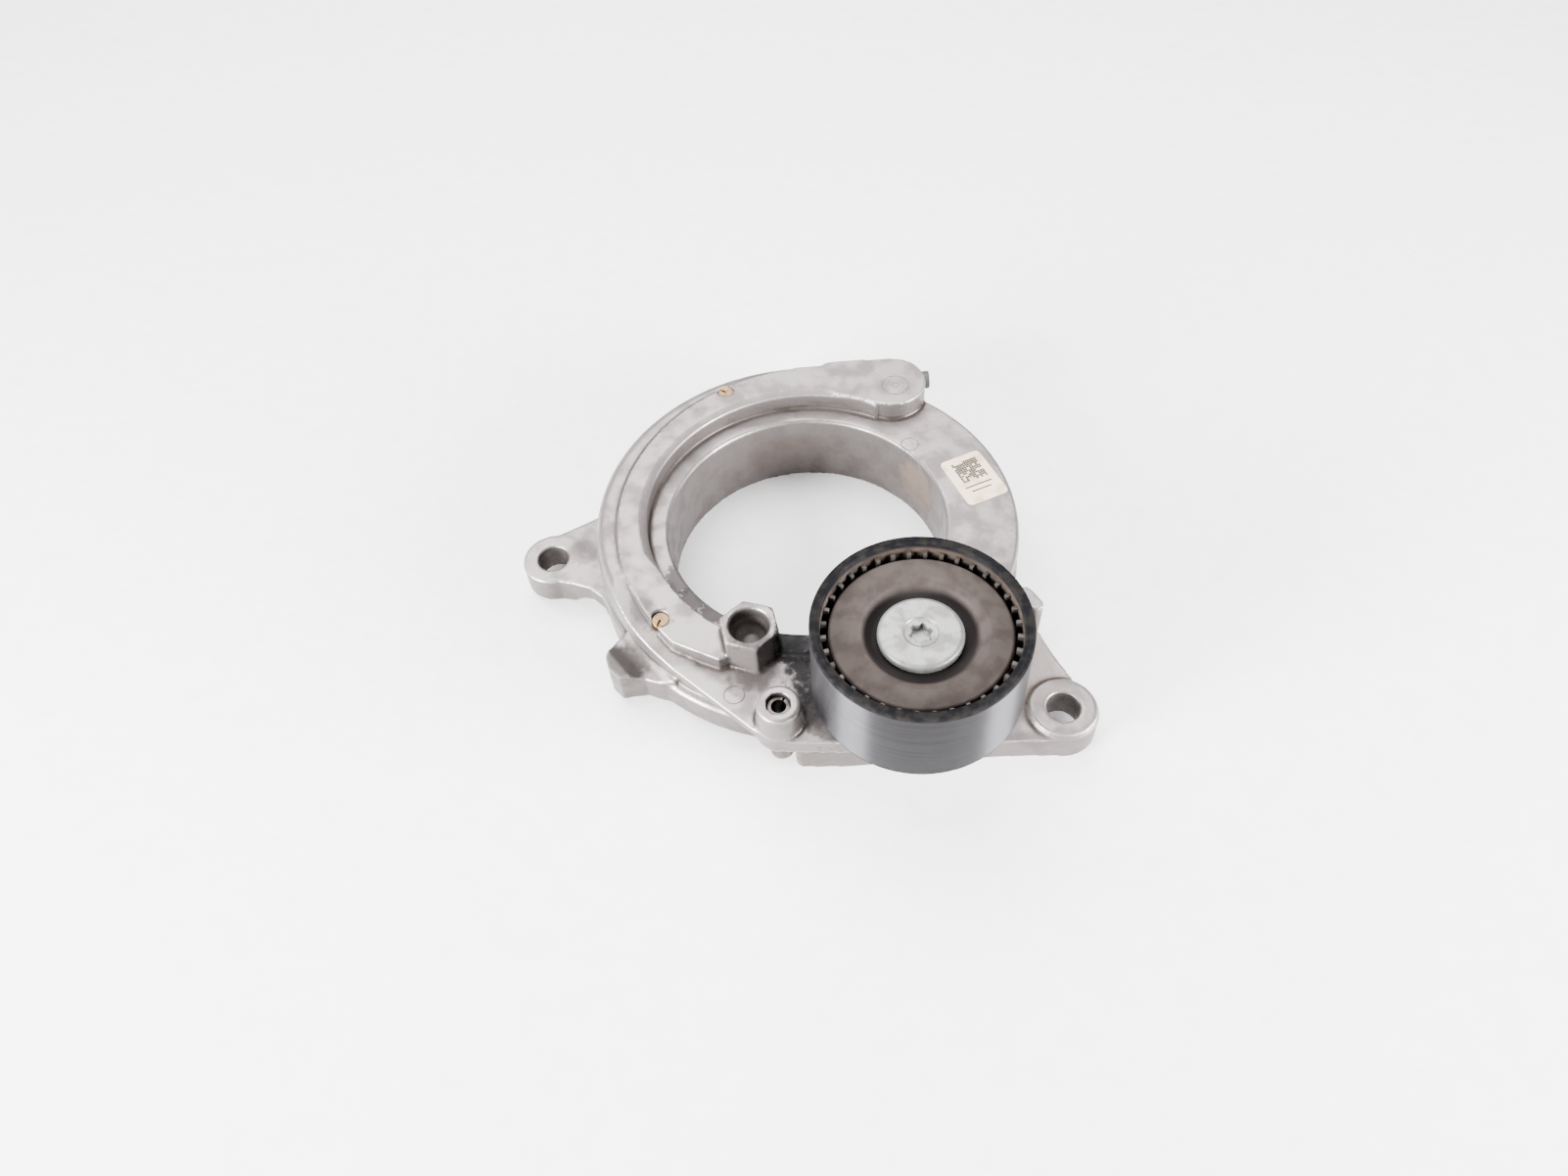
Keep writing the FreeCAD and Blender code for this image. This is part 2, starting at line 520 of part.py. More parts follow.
def pulley_bolt():
    seat = BEARING_TOP_Z + 1.1
    top = seat + BOLT_HEAD_T
    end = ARM_UNDER_Z + 2.5
    profile = [(0, end), (BOLT_R - 1.0, end), (BOLT_R, end + 1.0), (BOLT_R, seat), (BOLT_HEAD_R - 0.5, seat),
               (BOLT_HEAD_R, seat + 0.5), (BOLT_HEAD_R, top - 1.0), (BOLT_HEAD_R - 0.35, top - 0.35),
               (BOLT_HEAD_R - 1.2, top), (4.9, top), (4.6, top - 0.5), (0, top - 0.5)]
    return turned(profile, PULLEY_AT).cut(torx_recess(top - 0.5))


# ---- write one file per piece ----
def main():
    save("base_casting", base_casting())
    save("arm_casting", arm_casting())
    save("pivot_bush", pivot_bush())
    save("damping_disc", damping_disc())
    save("thrust_washer", thrust_washer())
    save("retaining_ring", retaining_ring())
    save("arc_spring", arc_spring())
    save("spring_seat_fixed", spring_seat(SPRING_FROM - SEAT_DEG + 0.1, SPRING_FROM - 0.1))
    save("spring_seat_moving", spring_seat(SPRING_TO + 0.1, SPRING_TO + SEAT_DEG))
    save("guide_shell", guide_shell())
    save("channel_plug", plug_shape())
    save("stop_pin", stop_pin())
    save("label_sticker", label_sticker())
    save("pulley_rim", pulley_rim())
    save("bearing_outer_ring", bearing_ring(OUTER_SHOULDER_R, BEARING_OD / 2, True))
    save("bearing_inner_ring", bearing_ring(BEARING_ID / 2, INNER_SHOULDER_R, False))
    save("bearing_balls", bearing_balls())
    save("ball_cage", ball_cage())
    save("bearing_seal_front", bearing_seal(BEARING_TOP_Z - SEAL_DEPTH))
    save("bearing_seal_rear", bearing_seal(BEARING_LOW_Z))
    save("dust_shield_front", dust_shield_front())
    save("dust_shield_rear", dust_shield_rear())
    save("pulley_spacer", pulley_spacer())
    save("pulley_bolt", pulley_bolt())


main()
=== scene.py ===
"""Looks of a ring-type belt tensioner: cast base and swing arm, polished idler pulley, sprung pivot.

Every size is in millimetres in the row frame and turned into metres by MM where a mesh is made.
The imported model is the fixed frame; the classes below dress its nodes or stand pieces in their place.
"""

import json
import logging
import math
from dataclasses import dataclass, field
from enum import Enum

import bmesh
import bpy
import numpy as np
from mathutils import Matrix, Vector, noise

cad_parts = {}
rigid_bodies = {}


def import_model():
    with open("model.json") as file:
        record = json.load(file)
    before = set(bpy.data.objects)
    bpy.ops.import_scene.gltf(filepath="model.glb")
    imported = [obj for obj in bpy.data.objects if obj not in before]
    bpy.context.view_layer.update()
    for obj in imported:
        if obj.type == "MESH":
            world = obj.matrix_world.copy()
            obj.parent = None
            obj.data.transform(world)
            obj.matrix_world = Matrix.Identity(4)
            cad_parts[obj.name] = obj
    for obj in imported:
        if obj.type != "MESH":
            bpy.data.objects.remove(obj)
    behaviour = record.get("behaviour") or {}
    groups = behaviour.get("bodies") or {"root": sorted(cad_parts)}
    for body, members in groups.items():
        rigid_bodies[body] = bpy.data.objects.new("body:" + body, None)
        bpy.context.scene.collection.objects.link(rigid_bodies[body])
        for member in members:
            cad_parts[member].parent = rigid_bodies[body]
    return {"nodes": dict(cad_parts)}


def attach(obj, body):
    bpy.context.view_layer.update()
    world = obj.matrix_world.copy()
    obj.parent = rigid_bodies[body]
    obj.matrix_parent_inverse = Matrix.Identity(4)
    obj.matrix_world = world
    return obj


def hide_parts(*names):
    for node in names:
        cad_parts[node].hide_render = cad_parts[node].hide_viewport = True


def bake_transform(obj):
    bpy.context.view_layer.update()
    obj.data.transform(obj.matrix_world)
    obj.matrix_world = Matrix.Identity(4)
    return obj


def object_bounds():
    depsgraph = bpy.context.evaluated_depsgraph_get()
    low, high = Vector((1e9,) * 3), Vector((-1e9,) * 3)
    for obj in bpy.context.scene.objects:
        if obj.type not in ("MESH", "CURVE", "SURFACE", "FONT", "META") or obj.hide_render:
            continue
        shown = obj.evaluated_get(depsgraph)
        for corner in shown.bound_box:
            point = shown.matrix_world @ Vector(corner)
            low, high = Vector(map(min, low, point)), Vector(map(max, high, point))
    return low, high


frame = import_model()
CAD_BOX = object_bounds()

MM = 0.001
AROUND = "around"
FAR = 1e5
USUAL_GLOSS = 0.42
log = logging.getLogger("tensioner")

Colour = tuple[float, float, float]
Point = tuple[float, float, float]
Profile = list[tuple[float, float]]


# ---- finishes ----
class DirtAndShade(Enum):
    """What has settled on a casting, and soot laid as painted shade: its colour and how much it takes the gloss away.
    """

    GREASE = ((0.004, 0.0035, 0.004), 0.50)
    # soot is also laid as painted shade along the arm's step wall
    SOOT_AND_SHADE = ((0.050, 0.044, 0.042), 0.60)
    TARNISH = ((0.090, 0.066, 0.052), 0.55)


@dataclass(frozen=True)
class StainAndShade:
    """One ellipsoid of dirt on a casting; a few stand for painted shade instead.

    Args:
        centre: middle of the patch in millimetres.
        reach: half sizes along X, Y and Z in millimetres.
        amount: how much it covers at its middle, 0 to 1.
        kind: what the dirt is; soot also serves as painted shade.
        grain: size of its speckles in millimetres.
    """

    centre: Point
    reach: Point
    amount: float
    kind: DirtAndShade
    grain: float = 1.6


class Shader:
    """A material's node tree and the few kinds of node that the finishes share."""

    def __init__(self, name: str) -> None:
        """Start an empty material with one Principled surface."""
        self.material = bpy.data.materials.new(name)
        self.material.use_nodes = True
        self.tree = self.material.node_tree
        self.tree.nodes.clear()
        self.surface = self.tree.nodes.new("ShaderNodeBsdfPrincipled")
        output = self.tree.nodes.new("ShaderNodeOutputMaterial")
        self.wire(self.surface.outputs["BSDF"], output.inputs["Surface"])
        self.place = self.tree.nodes.new("ShaderNodeTexCoord").outputs["Object"]

    def wire(self, source: bpy.types.NodeSocket, target: bpy.types.NodeSocket) -> None:
        """Link one socket to another."""
        self.tree.links.new(source, target)

    def fixed(self, **values: float) -> None:
        """Set plain numbers straight on the surface's sockets, underscores standing for spaces."""
        for name, value in values.items():
            self.surface.inputs[name.replace("_", " ")].default_value = value

    def grain(self, size: float, detail: float = 3.0, stretch: Point = (1, 1, 1)) -> bpy.types.NodeSocket:
        """Noise over the piece.

        Args:
            size: size of its lumps in millimetres.
            detail: octaves of finer noise.
            stretch: how the pattern is squeezed along X, Y and Z.

        Returns:
            A socket with values round one half.
        """
        mapping = self.tree.nodes.new("ShaderNodeMapping")
        mapping.inputs["Scale"].default_value = stretch
        self.wire(self.place, mapping.inputs["Vector"])
        node = self.tree.nodes.new("ShaderNodeTexNoise")
        node.inputs["Scale"].default_value = 1.0 / (size * MM)
        node.inputs["Detail"].default_value = detail
        self.wire(mapping.outputs["Vector"], node.inputs["Vector"])
        return node.outputs["Fac"]

    def span(self, value: bpy.types.NodeSocket, low: float, high: float, out: tuple[float, float] = (0, 1)
             ) -> bpy.types.NodeSocket:
        """Spread value from low to high smoothly over out, clamped."""
        node = self.tree.nodes.new("ShaderNodeMapRange")
        node.interpolation_type = "SMOOTHSTEP"
        for name, number in (("From Min", low), ("From Max", high), ("To Min", out[0]), ("To Max", out[1])):
            node.inputs[name].default_value = number
        self.wire(value, node.inputs["Value"])
        return node.outputs["Result"]

    def sum(self, first: bpy.types.NodeSocket, second: bpy.types.NodeSocket | float, kind: str = "ADD"
            ) -> bpy.types.NodeSocket:
        """Join two values by a Math node of that kind."""
        node = self.tree.nodes.new("ShaderNodeMath")
        node.operation = kind
        self.wire(first, node.inputs[0])
        if isinstance(second, (int, float)):
            node.inputs[1].default_value = second
        else:
            self.wire(second, node.inputs[1])
        return node.outputs[0]

    def tint(self, share: bpy.types.NodeSocket, first: bpy.types.NodeSocket | Colour,
             second: bpy.types.NodeSocket | Colour) -> bpy.types.NodeSocket:
        """Mix two colours by share, 0 for the first and 1 for the second."""
        node = self.tree.nodes.new("ShaderNodeMix")
        node.data_type = "RGBA"
        self.wire(share, node.inputs[0])
        for slot, colour in ((6, first), (7, second)):
            if isinstance(colour, tuple):
                node.inputs[slot].default_value = (*colour, 1.0)
            else:
                self.wire(colour, node.inputs[slot])
        return node.outputs[2]

    def apart(self, centre: Point, reach: Point) -> bpy.types.NodeSocket:
        """Distance from an ellipsoid's centre as a share of its half sizes, all in millimetres."""
        mapping = self.tree.nodes.new("ShaderNodeMapping")
        mapping.vector_type = "TEXTURE"
        mapping.inputs["Location"].default_value = [c * MM for c in centre]
        mapping.inputs["Scale"].default_value = [r * MM for r in reach]
        self.wire(self.place, mapping.inputs["Vector"])
        node = self.tree.nodes.new("ShaderNodeVectorMath")
        node.operation = "LENGTH"
        self.wire(mapping.outputs["Vector"], node.inputs[0])
        return node.outputs["Value"]

    def attribute(self, name: str) -> bpy.types.NodeSocket:
        """A number stored on the mesh's points."""
        node = self.tree.nodes.new("ShaderNodeAttribute")
        node.attribute_name = name
        return node.outputs["Fac"]

    def height(self) -> bpy.types.NodeSocket:
        """The piece's own Z in metres."""
        node = self.tree.nodes.new("ShaderNodeSeparateXYZ")
        self.wire(self.place, node.inputs[0])
        return node.outputs["Z"]

    def rough(self, height: bpy.types.NodeSocket, depth: float) -> None:
        """Bump the surface by height, depth millimetres at most."""
        node = self.tree.nodes.new("ShaderNodeBump")
        node.inputs["Strength"].default_value = 1.0
        node.inputs["Distance"].default_value = depth * MM
        self.wire(height, node.inputs["Height"])
        self.wire(node.outputs["Normal"], self.surface.inputs["Normal"])


@dataclass(frozen=True)
class CastSkin:
    """As-cast aluminium: mottled, with a painted highlight on its edges, painted shade in its creases, on its upright
    walls and at the foot of its walls, and stains where oil ran, a few of them painted shade.

    Args:
        name: the material's name.
        stains_and_shade: what has settled on it, and a few patches of painted shade.
        light: colour of the clean metal.
        dull: colour of its duller patches.
        fleck: colour of its fine darker flecks.
        crease_shade: colour of the painted shade in sharp creases.
        wall_shade: colour of the painted shade on its upright walls.
        corner: colour of the painted shade along the foot of its walls.
        edge_highlight: colour of the painted highlight on its convex edges.
        gloss: roughness of the clean and of the duller patches.
    """

    name: str
    stains_and_shade: tuple[StainAndShade, ...] = ()
    light: Colour = (0.235, 0.212, 0.208)
    dull: Colour = (0.160, 0.141, 0.137)
    fleck: Colour = (0.20, 0.18, 0.172)
    crease_shade: Colour = (0.060, 0.050, 0.045)
    wall_shade: Colour = (0.050, 0.042, 0.039)
    corner: Colour = (0.045, 0.037, 0.033)
    edge_highlight: Colour = (0.50, 0.47, 0.46)
    gloss: tuple[float, float] = (0.40, 0.52)

    def material(self) -> bpy.types.Material:
        """Make the material."""
        paint = Shader(self.name)
        patches = paint.span(paint.grain(8.0, 6.0), 0.40, 0.66)
        colour = paint.tint(patches, self.light, self.dull)
        speckle = paint.span(paint.grain(1.1, 2.0), 0.56, 0.74, (0.0, 0.5))
        colour = paint.tint(speckle, colour, self.fleck)
        relief = paint.attribute("relief")
        # painted shade: darkens sharp creases where the relief is concave
        colour = paint.tint(paint.span(relief, -0.01, -0.12, (0.0, 0.85)), colour, self.crease_shade)
        hollow = paint.attribute("hollow")
        # painted shade: darkens the upright walls, more the steeper they stand
        colour = paint.tint(paint.span(paint.attribute("wall"), 0.25, 0.95, (0.0, 0.55)), colour, self.wall_shade)
        # painted shade: darkens the hollows along the foot of the walls
        colour = paint.tint(paint.span(hollow, -0.03, -0.40, (0.0, 0.8)), colour, self.corner)
        # painted highlight: lightens the convex edges
        colour = paint.tint(paint.span(relief, 0.03, 0.20, (0.0, 0.6)), colour, self.edge_highlight)
        gloss = paint.span(patches, 0.0, 1.0, self.gloss)
        metal = paint.span(patches, 0.0, 1.0, (0.82, 0.76))
        # each patch darkens and dulls the skin; the soot patches along the arm's step wall are painted shade
        for stain_and_shade in self.stains_and_shade:
            base, dullness = stain_and_shade.kind.value
            edge = paint.sum(paint.sum(paint.grain(stain_and_shade.grain, 4.0), -0.5), 1.1, "MULTIPLY")
            cover = paint.span(paint.sum(paint.apart(stain_and_shade.centre, stain_and_shade.reach), edge), 1.05, 0.62,
                               (0.0, stain_and_shade.amount))
            colour = paint.tint(cover, colour, base)
            gloss = paint.sum(gloss, paint.span(cover, 0.0, 1.0, (0.0, dullness - USUAL_GLOSS)))
            metal = paint.sum(metal, paint.span(cover, 0.3, 1.0, (1.0, 0.0)), "MULTIPLY")
        paint.wire(colour, paint.surface.inputs["Base Color"])
        paint.wire(gloss, paint.surface.inputs["Roughness"])
        paint.wire(metal, paint.surface.inputs["Metallic"])
        paint.fixed(Specular_IOR_Level=0.15)
        paint.rough(paint.sum(paint.grain(0.8, 3.0), paint.grain(5.0, 2.0)), 0.07)
        return paint.material


@dataclass(frozen=True)
class WornMetal:
    """Plain metal or plated steel with mottling and smudges.

    Args:
        name: the material's name.
        clean: main colour.
        worn: colour of the smudged patches.
        metallic: 0 to 1.
        gloss: roughness of the clean and of the worn patches.
        lump: size of the patches in millimetres.
        fleck: share of fine darker flecks, 0 to 1.
        skin: depth of the surface's grain in millimetres.
    """

    name: str
    clean: Colour
    worn: Colour
    metallic: float = 0.8
    gloss: tuple[float, float] = (0.35, 0.5)
    lump: float = 7.0
    fleck: float = 0.3
    skin: float = 0.02

    def material(self) -> bpy.types.Material:
        """Make the material."""
        paint = Shader(self.name)
        patches = paint.span(paint.grain(self.lump, 4.0), 0.40, 0.64)
        colour = paint.tint(patches, self.clean, self.worn)
        flecks = paint.span(paint.grain(0.7, 2.0), 0.55, 0.75, (0.0, self.fleck))
        dark = tuple(c * 0.45 for c in self.worn)
        colour = paint.tint(flecks, colour, dark)
        paint.wire(colour, paint.surface.inputs["Base Color"])
        paint.wire(paint.span(patches, 0.0, 1.0, self.gloss), paint.surface.inputs["Roughness"])
        paint.fixed(Metallic=self.metallic)
        paint.rough(paint.grain(0.6, 3.0), self.skin)
        return paint.material


@dataclass(frozen=True)
class BeltPolish:
    """The pulley's shell: belt-polished side, dark lips and a grimy inside.

    Args:
        name: the material's name.
        axis: centre of the pulley in millimetres.
        side_r: radius of the polished side.
        low: height of the lower end.
        high: height of the upper end.
        metal: colour of the polished side and of its streaks.
        black: colour of the lips and of their dust.
        grimy: colour of the inside and of its darker patches.
    """

    name: str
    axis: tuple[float, float]
    side_r: float
    low: float
    high: float
    metal: tuple[Colour, Colour] = ((0.041, 0.0395, 0.043), (0.032, 0.0305, 0.0335))
    black: tuple[Colour, Colour] = ((0.005, 0.005, 0.006), (0.011, 0.010, 0.0095))
    grimy: tuple[Colour, Colour] = ((0.050, 0.038, 0.032), (0.020, 0.016, 0.014))

    def material(self) -> bpy.types.Material:
        """Make the material."""
        paint = Shader(self.name)
        out = paint.apart((*self.axis, 0.0), (self.side_r, self.side_r, self.side_r * 1000))
        up = paint.height()
        side = paint.span(out, 0.985, 0.996)
        below = paint.span(up, (self.high - 1.1) * MM, (self.high - 1.9) * MM)
        above = paint.span(up, (self.low + 0.5) * MM, (self.low + 1.3) * MM)
        polish = paint.sum(paint.sum(side, below, "MULTIPLY"), above, "MULTIPLY")
        streak = paint.span(paint.grain(2.2, 4.0, (0.10, 0.10, 3.5)), 0.42, 0.66)
        metal = paint.tint(streak, *self.metal)
        inner = paint.sum(paint.span(out, 0.962, 0.935), paint.span(up, (self.high - 0.9) * MM, (self.high - 2.4) * MM),
                          "MULTIPLY")
        lip = paint.tint(paint.span(paint.grain(3.0, 4.0), 0.42, 0.62), *self.black)
        grime = paint.tint(paint.span(paint.grain(6.0, 3.0), 0.30, 0.75), *self.grimy)
        colour = paint.tint(inner, lip, grime)
        colour = paint.tint(polish, colour, metal)
        paint.wire(colour, paint.surface.inputs["Base Color"])
        paint.wire(paint.span(polish, 0.0, 1.0, (0.0, 0.96)), paint.surface.inputs["Metallic"])
        paint.wire(paint.span(polish, 0.0, 1.0, (0.60, 0.38)), paint.surface.inputs["Roughness"])
        paint.fixed(Anisotropic=1.0, Anisotropic_Rotation=0.25, Specular_IOR_Level=0.03)
        tangent = paint.tree.nodes.new("ShaderNodeTangent")
        tangent.direction_type = "UV_MAP"
        tangent.uv_map = AROUND
        paint.wire(tangent.outputs["Tangent"], paint.surface.inputs["Tangent"])
        return paint.material


@dataclass(frozen=True)
class Moulded:
    """Moulded polymer, rubber or card.

    Args:
        name: the material's name.
        colour: main colour.
        shade: colour of its dirtier patches.
        roughness: roughness all over.
        lump: size of the patches in millimetres.
    """

    name: str
    colour: Colour
    shade: Colour
    roughness: float = 0.5
    lump: float = 3.0

    def material(self) -> bpy.types.Material:
        """Make the material."""
        paint = Shader(self.name)
        share = paint.span(paint.grain(self.lump, 4.0), 0.45, 0.68)
        paint.wire(paint.tint(share, self.colour, self.shade), paint.surface.inputs["Base Color"])
        paint.fixed(Metallic=0.0, Roughness=self.roughness)
        paint.rough(paint.grain(0.5, 2.0), 0.015)
        return paint.material


@dataclass(frozen=True)
class ShieldTaupe:
    """The front shield: matt brown-grey sheet, with painted shade in the well round the bolt.

    Args:
        name: the material's name.
        axis: centre of the shield in millimetres.
        face: colour of its clean and of its smudged patches.
        fleck: colour of its fine flecks.
        well: colour of the painted shade in the well.
        well_shade_r: radii in millimetres between which the face turns into the painted shade of the well.
    """

    name: str
    axis: tuple[float, float]
    face: tuple[Colour, Colour] = ((0.052, 0.042, 0.038), (0.037, 0.029, 0.026))
    fleck: Colour = (0.050, 0.041, 0.036)
    well: Colour = (0.012, 0.010, 0.010)
    well_shade_r: tuple[float, float] = (16.6, 14.4)

    def material(self) -> bpy.types.Material:
        """Make the material."""
        paint = Shader(self.name)
        # painted shade: darkens the recessed well round the bolt
        well_shade_share = paint.span(paint.apart((*self.axis, 0), (1, 1, FAR)), *self.well_shade_r)
        colour = paint.tint(paint.span(paint.grain(6.0, 4.0), 0.40, 0.64), *self.face)
        colour = paint.tint(paint.span(paint.grain(0.9, 2.0), 0.58, 0.76, (0.0, 0.35)), colour, self.fleck)
        colour = paint.tint(well_shade_share, colour, self.well)
        paint.wire(colour, paint.surface.inputs["Base Color"])
        paint.wire(paint.span(well_shade_share, 0.0, 1.0, (0.60, 0.70)), paint.surface.inputs["Roughness"])
        paint.fixed(Metallic=0.12, Specular_IOR_Level=0.06)
        paint.rough(paint.grain(0.9, 3.0), 0.02)
        return paint.material


# ---- mesh helpers ----
def piece_of(name: str, mesh: bpy.types.Mesh) -> bpy.types.Object:
    """Link a mesh into the scene as an object at the origin."""
    thing = bpy.data.objects.new(name, mesh)
    bpy.context.scene.collection.objects.link(thing)
    return thing


def settled(thing: bpy.types.Object) -> bpy.types.Object:
    """Turn an object's modifiers into plain mesh.

    Args:
        thing: object with live modifiers.

    Returns:
        The same object, its modifiers gone and its mesh the evaluated one.
    """
    bpy.context.view_layer.update()
    solid = thing.evaluated_get(bpy.context.evaluated_depsgraph_get())
    mesh = bpy.data.meshes.new_from_object(solid)
    thing.modifiers.clear()
    thing.data = mesh
    mesh.name = thing.name
    return thing


def dressed(thing: bpy.types.Object, *finishes: bpy.types.Material) -> bpy.types.Object:
    """Give an object these materials in place of its own."""
    thing.data.materials.clear()
    for finish in finishes:
        thing.data.materials.append(finish)
    return thing


def smooth(mesh: bpy.types.Mesh) -> None:
    """Shade every face smooth."""
    mesh.polygons.foreach_set("use_smooth", [True] * len(mesh.polygons))


def softened(outline: Profile, radius: float, steps: int = 4) -> Profile:
    """Round every corner of a closed outline.

    Args:
        outline: corners in order.
        radius: corner radius, cut down where a side is too short for it.
        steps: straight steps in each corner.

    Returns:
        The outline with an arc at each corner.
    """
    rounded: Profile = []
    count = len(outline)
    for i, corner in enumerate(outline):
        here = Vector(corner)
        back = Vector(outline[i - 1]) - here
        on = Vector(outline[(i + 1) % count]) - here
        angle = back.angle(on)
        if angle > math.radians(176):
            rounded.append(corner)
            continue
        inset = min(radius / math.tan(angle / 2), back.length * 0.45, on.length * 0.45)
        start, end = here + back.normalized() * inset, here + on.normalized() * inset
        for step in range(steps + 1):
            t = step / steps
            spot = start * (1 - t) ** 2 + here * (2 * t * (1 - t)) + end * t ** 2
            rounded.append((spot.x, spot.y))
    return rounded


def lathed(name: str, outline: Profile, axis: tuple[float, float], segments: int = 192) -> bpy.types.Object:
    """Turn a closed (radius, height) outline about an upright axis.

    Args:
        name: name of the piece.
        outline: closed outline in millimetres, clear of the axis.
        axis: where the axis stands.
        segments: steps round the axis.

    Returns:
        A closed smooth-shaded piece with its normals outward.
    """
    points, faces = [], []
    count = len(outline)
    for i in range(segments):
        turn = 2 * math.pi * i / segments
        points += [((axis[0] + r * math.cos(turn)) * MM, (axis[1] + r * math.sin(turn)) * MM, z * MM)
                   for r, z in outline]
        ahead = (i + 1) % segments
        faces += [(i * count + j, ahead * count + j, ahead * count + (j + 1) % count, i * count + (j + 1) % count)
                  for j in range(count)]
    mesh = bpy.data.meshes.new(name)
    mesh.from_pydata(points, [], faces)
    shell = bmesh.new()
    shell.from_mesh(mesh)
    bmesh.ops.recalc_face_normals(shell, faces=shell.faces)
    unrolled = shell.loops.layers.uv.new(AROUND)
    for face in shell.faces:
        turns = [math.atan2(v.vert.co.y - axis[1] * MM, v.vert.co.x - axis[0] * MM) / (2 * math.pi) for v in face.loops]
        for loop, turn in zip(face.loops, turns):
            loop[unrolled].uv = (turn + (turn < max(turns) - 0.5), loop.vert.co.z / MM / 60)
    shell.to_mesh(mesh)
    shell.free()
    smooth(mesh)
    mesh.set_sharp_from_angle(angle=math.radians(50))
    return piece_of(name, mesh)


def mean_of_neighbours(values: np.ndarray, pairs: np.ndarray) -> np.ndarray:
    """Average the values of each point's neighbours.

    Args:
        values: one row for each point.
        pairs: the two points of each edge.

    Returns:
        One row of averages for each point.
    """
    count = len(values)
    ties = np.maximum(np.bincount(pairs.ravel(), minlength=count), 1)
    columns = [(np.bincount(pairs[:, 0], column[pairs[:, 1]], count)
                + np.bincount(pairs[:, 1], column[pairs[:, 0]], count)) / ties for column in values.T]
    return np.stack(columns, 1)


def relief_of(mesh: bpy.types.Mesh, near: int = 2, far: int = 26) -> None:
    """Store how far each point stands proud, as the point attributes "relief", "hollow" and "wall".

    Relief is a slope against the nearest neighbours; hollow is millimetres against a widely smoothed skin;
    wall is 0 where the skin lies level and 1 where it stands upright.

    Args:
        mesh: the mesh to measure, in place.
        near: how many times the relief is spread to the neighbours.
        far: how many smoothing passes the wide measure is taken against.
    """
    count = len(mesh.vertices)
    spots = np.zeros(count * 3)
    mesh.vertices.foreach_get("co", spots)
    spots = spots.reshape(-1, 3)
    normals = np.zeros(count * 3)
    mesh.vertices.foreach_get("normal", normals)
    normals = normals.reshape(-1, 3)
    pairs = np.zeros(len(mesh.edges) * 2, int)
    mesh.edges.foreach_get("vertices", pairs)
    pairs = pairs.reshape(-1, 2)
    along = spots[pairs[:, 1]] - spots[pairs[:, 0]]
    along /= np.maximum(np.linalg.norm(along, axis=1, keepdims=True), 1e-9)
    rise = (np.bincount(pairs[:, 1], (along * normals[pairs[:, 1]]).sum(1), count)
            - np.bincount(pairs[:, 0], (along * normals[pairs[:, 0]]).sum(1), count))
    proud = (rise / np.maximum(np.bincount(pairs.ravel(), minlength=count), 1))[:, None]
    for _ in range(near):
        proud = 0.4 * proud + 0.6 * mean_of_neighbours(proud, pairs)
    flattened = spots
    for _ in range(far):
        flattened = 0.5 * flattened + 0.5 * mean_of_neighbours(flattened, pairs)
    hollow = ((spots - flattened) * normals).sum(1) / MM
    for name, values in (("relief", proud[:, 0]), ("hollow", hollow), ("wall", 1.0 - np.abs(normals[:, 2]))):
        layer = mesh.attributes.new(name, "FLOAT", "POINT")
        layer.data.foreach_set("value", values.astype(np.float32))


def merged_copy(name: str, node: str) -> bpy.types.Object:
    """Copy a CAD node's mesh into a new piece, its loose triangles joined up."""
    shell = bmesh.new()
    shell.from_mesh(frame["nodes"][node].data)
    bmesh.ops.remove_doubles(shell, verts=shell.verts, dist=1e-6)
    mesh = bpy.data.meshes.new(name)
    shell.to_mesh(mesh)
    shell.free()
    return piece_of(name, mesh)


@dataclass
class Tumbled:
    """Recipe that turns a sharp CAD solid into a piece with cast corners.

    Args:
        voxel: grid of the new skin in millimetres.
        passes: smoothing passes, each softening corners further.
        keep: share of the faces kept after thinning.
    """

    voxel: float
    passes: int
    keep: float

    def piece(self, name: str, node: str) -> bpy.types.Object:
        """Make the soft-cornered copy of a CAD node.

        Args:
            name: name of the new piece.
            node: CAD node to copy.

        Returns:
            The piece as a plain smooth mesh.
        """
        thing = merged_copy(name, node)
        skin = thing.modifiers.new("skin", "REMESH")
        skin.mode = "VOXEL"
        skin.voxel_size = self.voxel * MM
        soft = thing.modifiers.new("soft", "SMOOTH")
        soft.factor = 0.5
        soft.iterations = self.passes
        thin = thing.modifiers.new("thin", "DECIMATE")
        thin.ratio = self.keep
        settled(thing)
        smooth(thing.data)
        return thing


def pitted(mesh: bpy.types.Mesh, patches: list[tuple[Point, float]], depth: float) -> None:
    """Pit the level skin inside round patches.

    Args:
        mesh: mesh to change in place.
        patches: centre and radius of each patch in millimetres.
        depth: depth of the deepest pits in millimetres.
    """
    for vertex in mesh.vertices:
        if vertex.normal.z < 0.9:
            continue
        spot = vertex.co / MM
        for centre, radius in patches:
            share = 1.0 - (spot - Vector(centre)).length / radius
            if share > 0:
                pit = noise.noise(spot * 1.1) + 0.5 * noise.noise(spot * 2.3)
                vertex.co += vertex.normal * (min(share * 3, 1.0) * depth * MM * min(pit, 0.15))


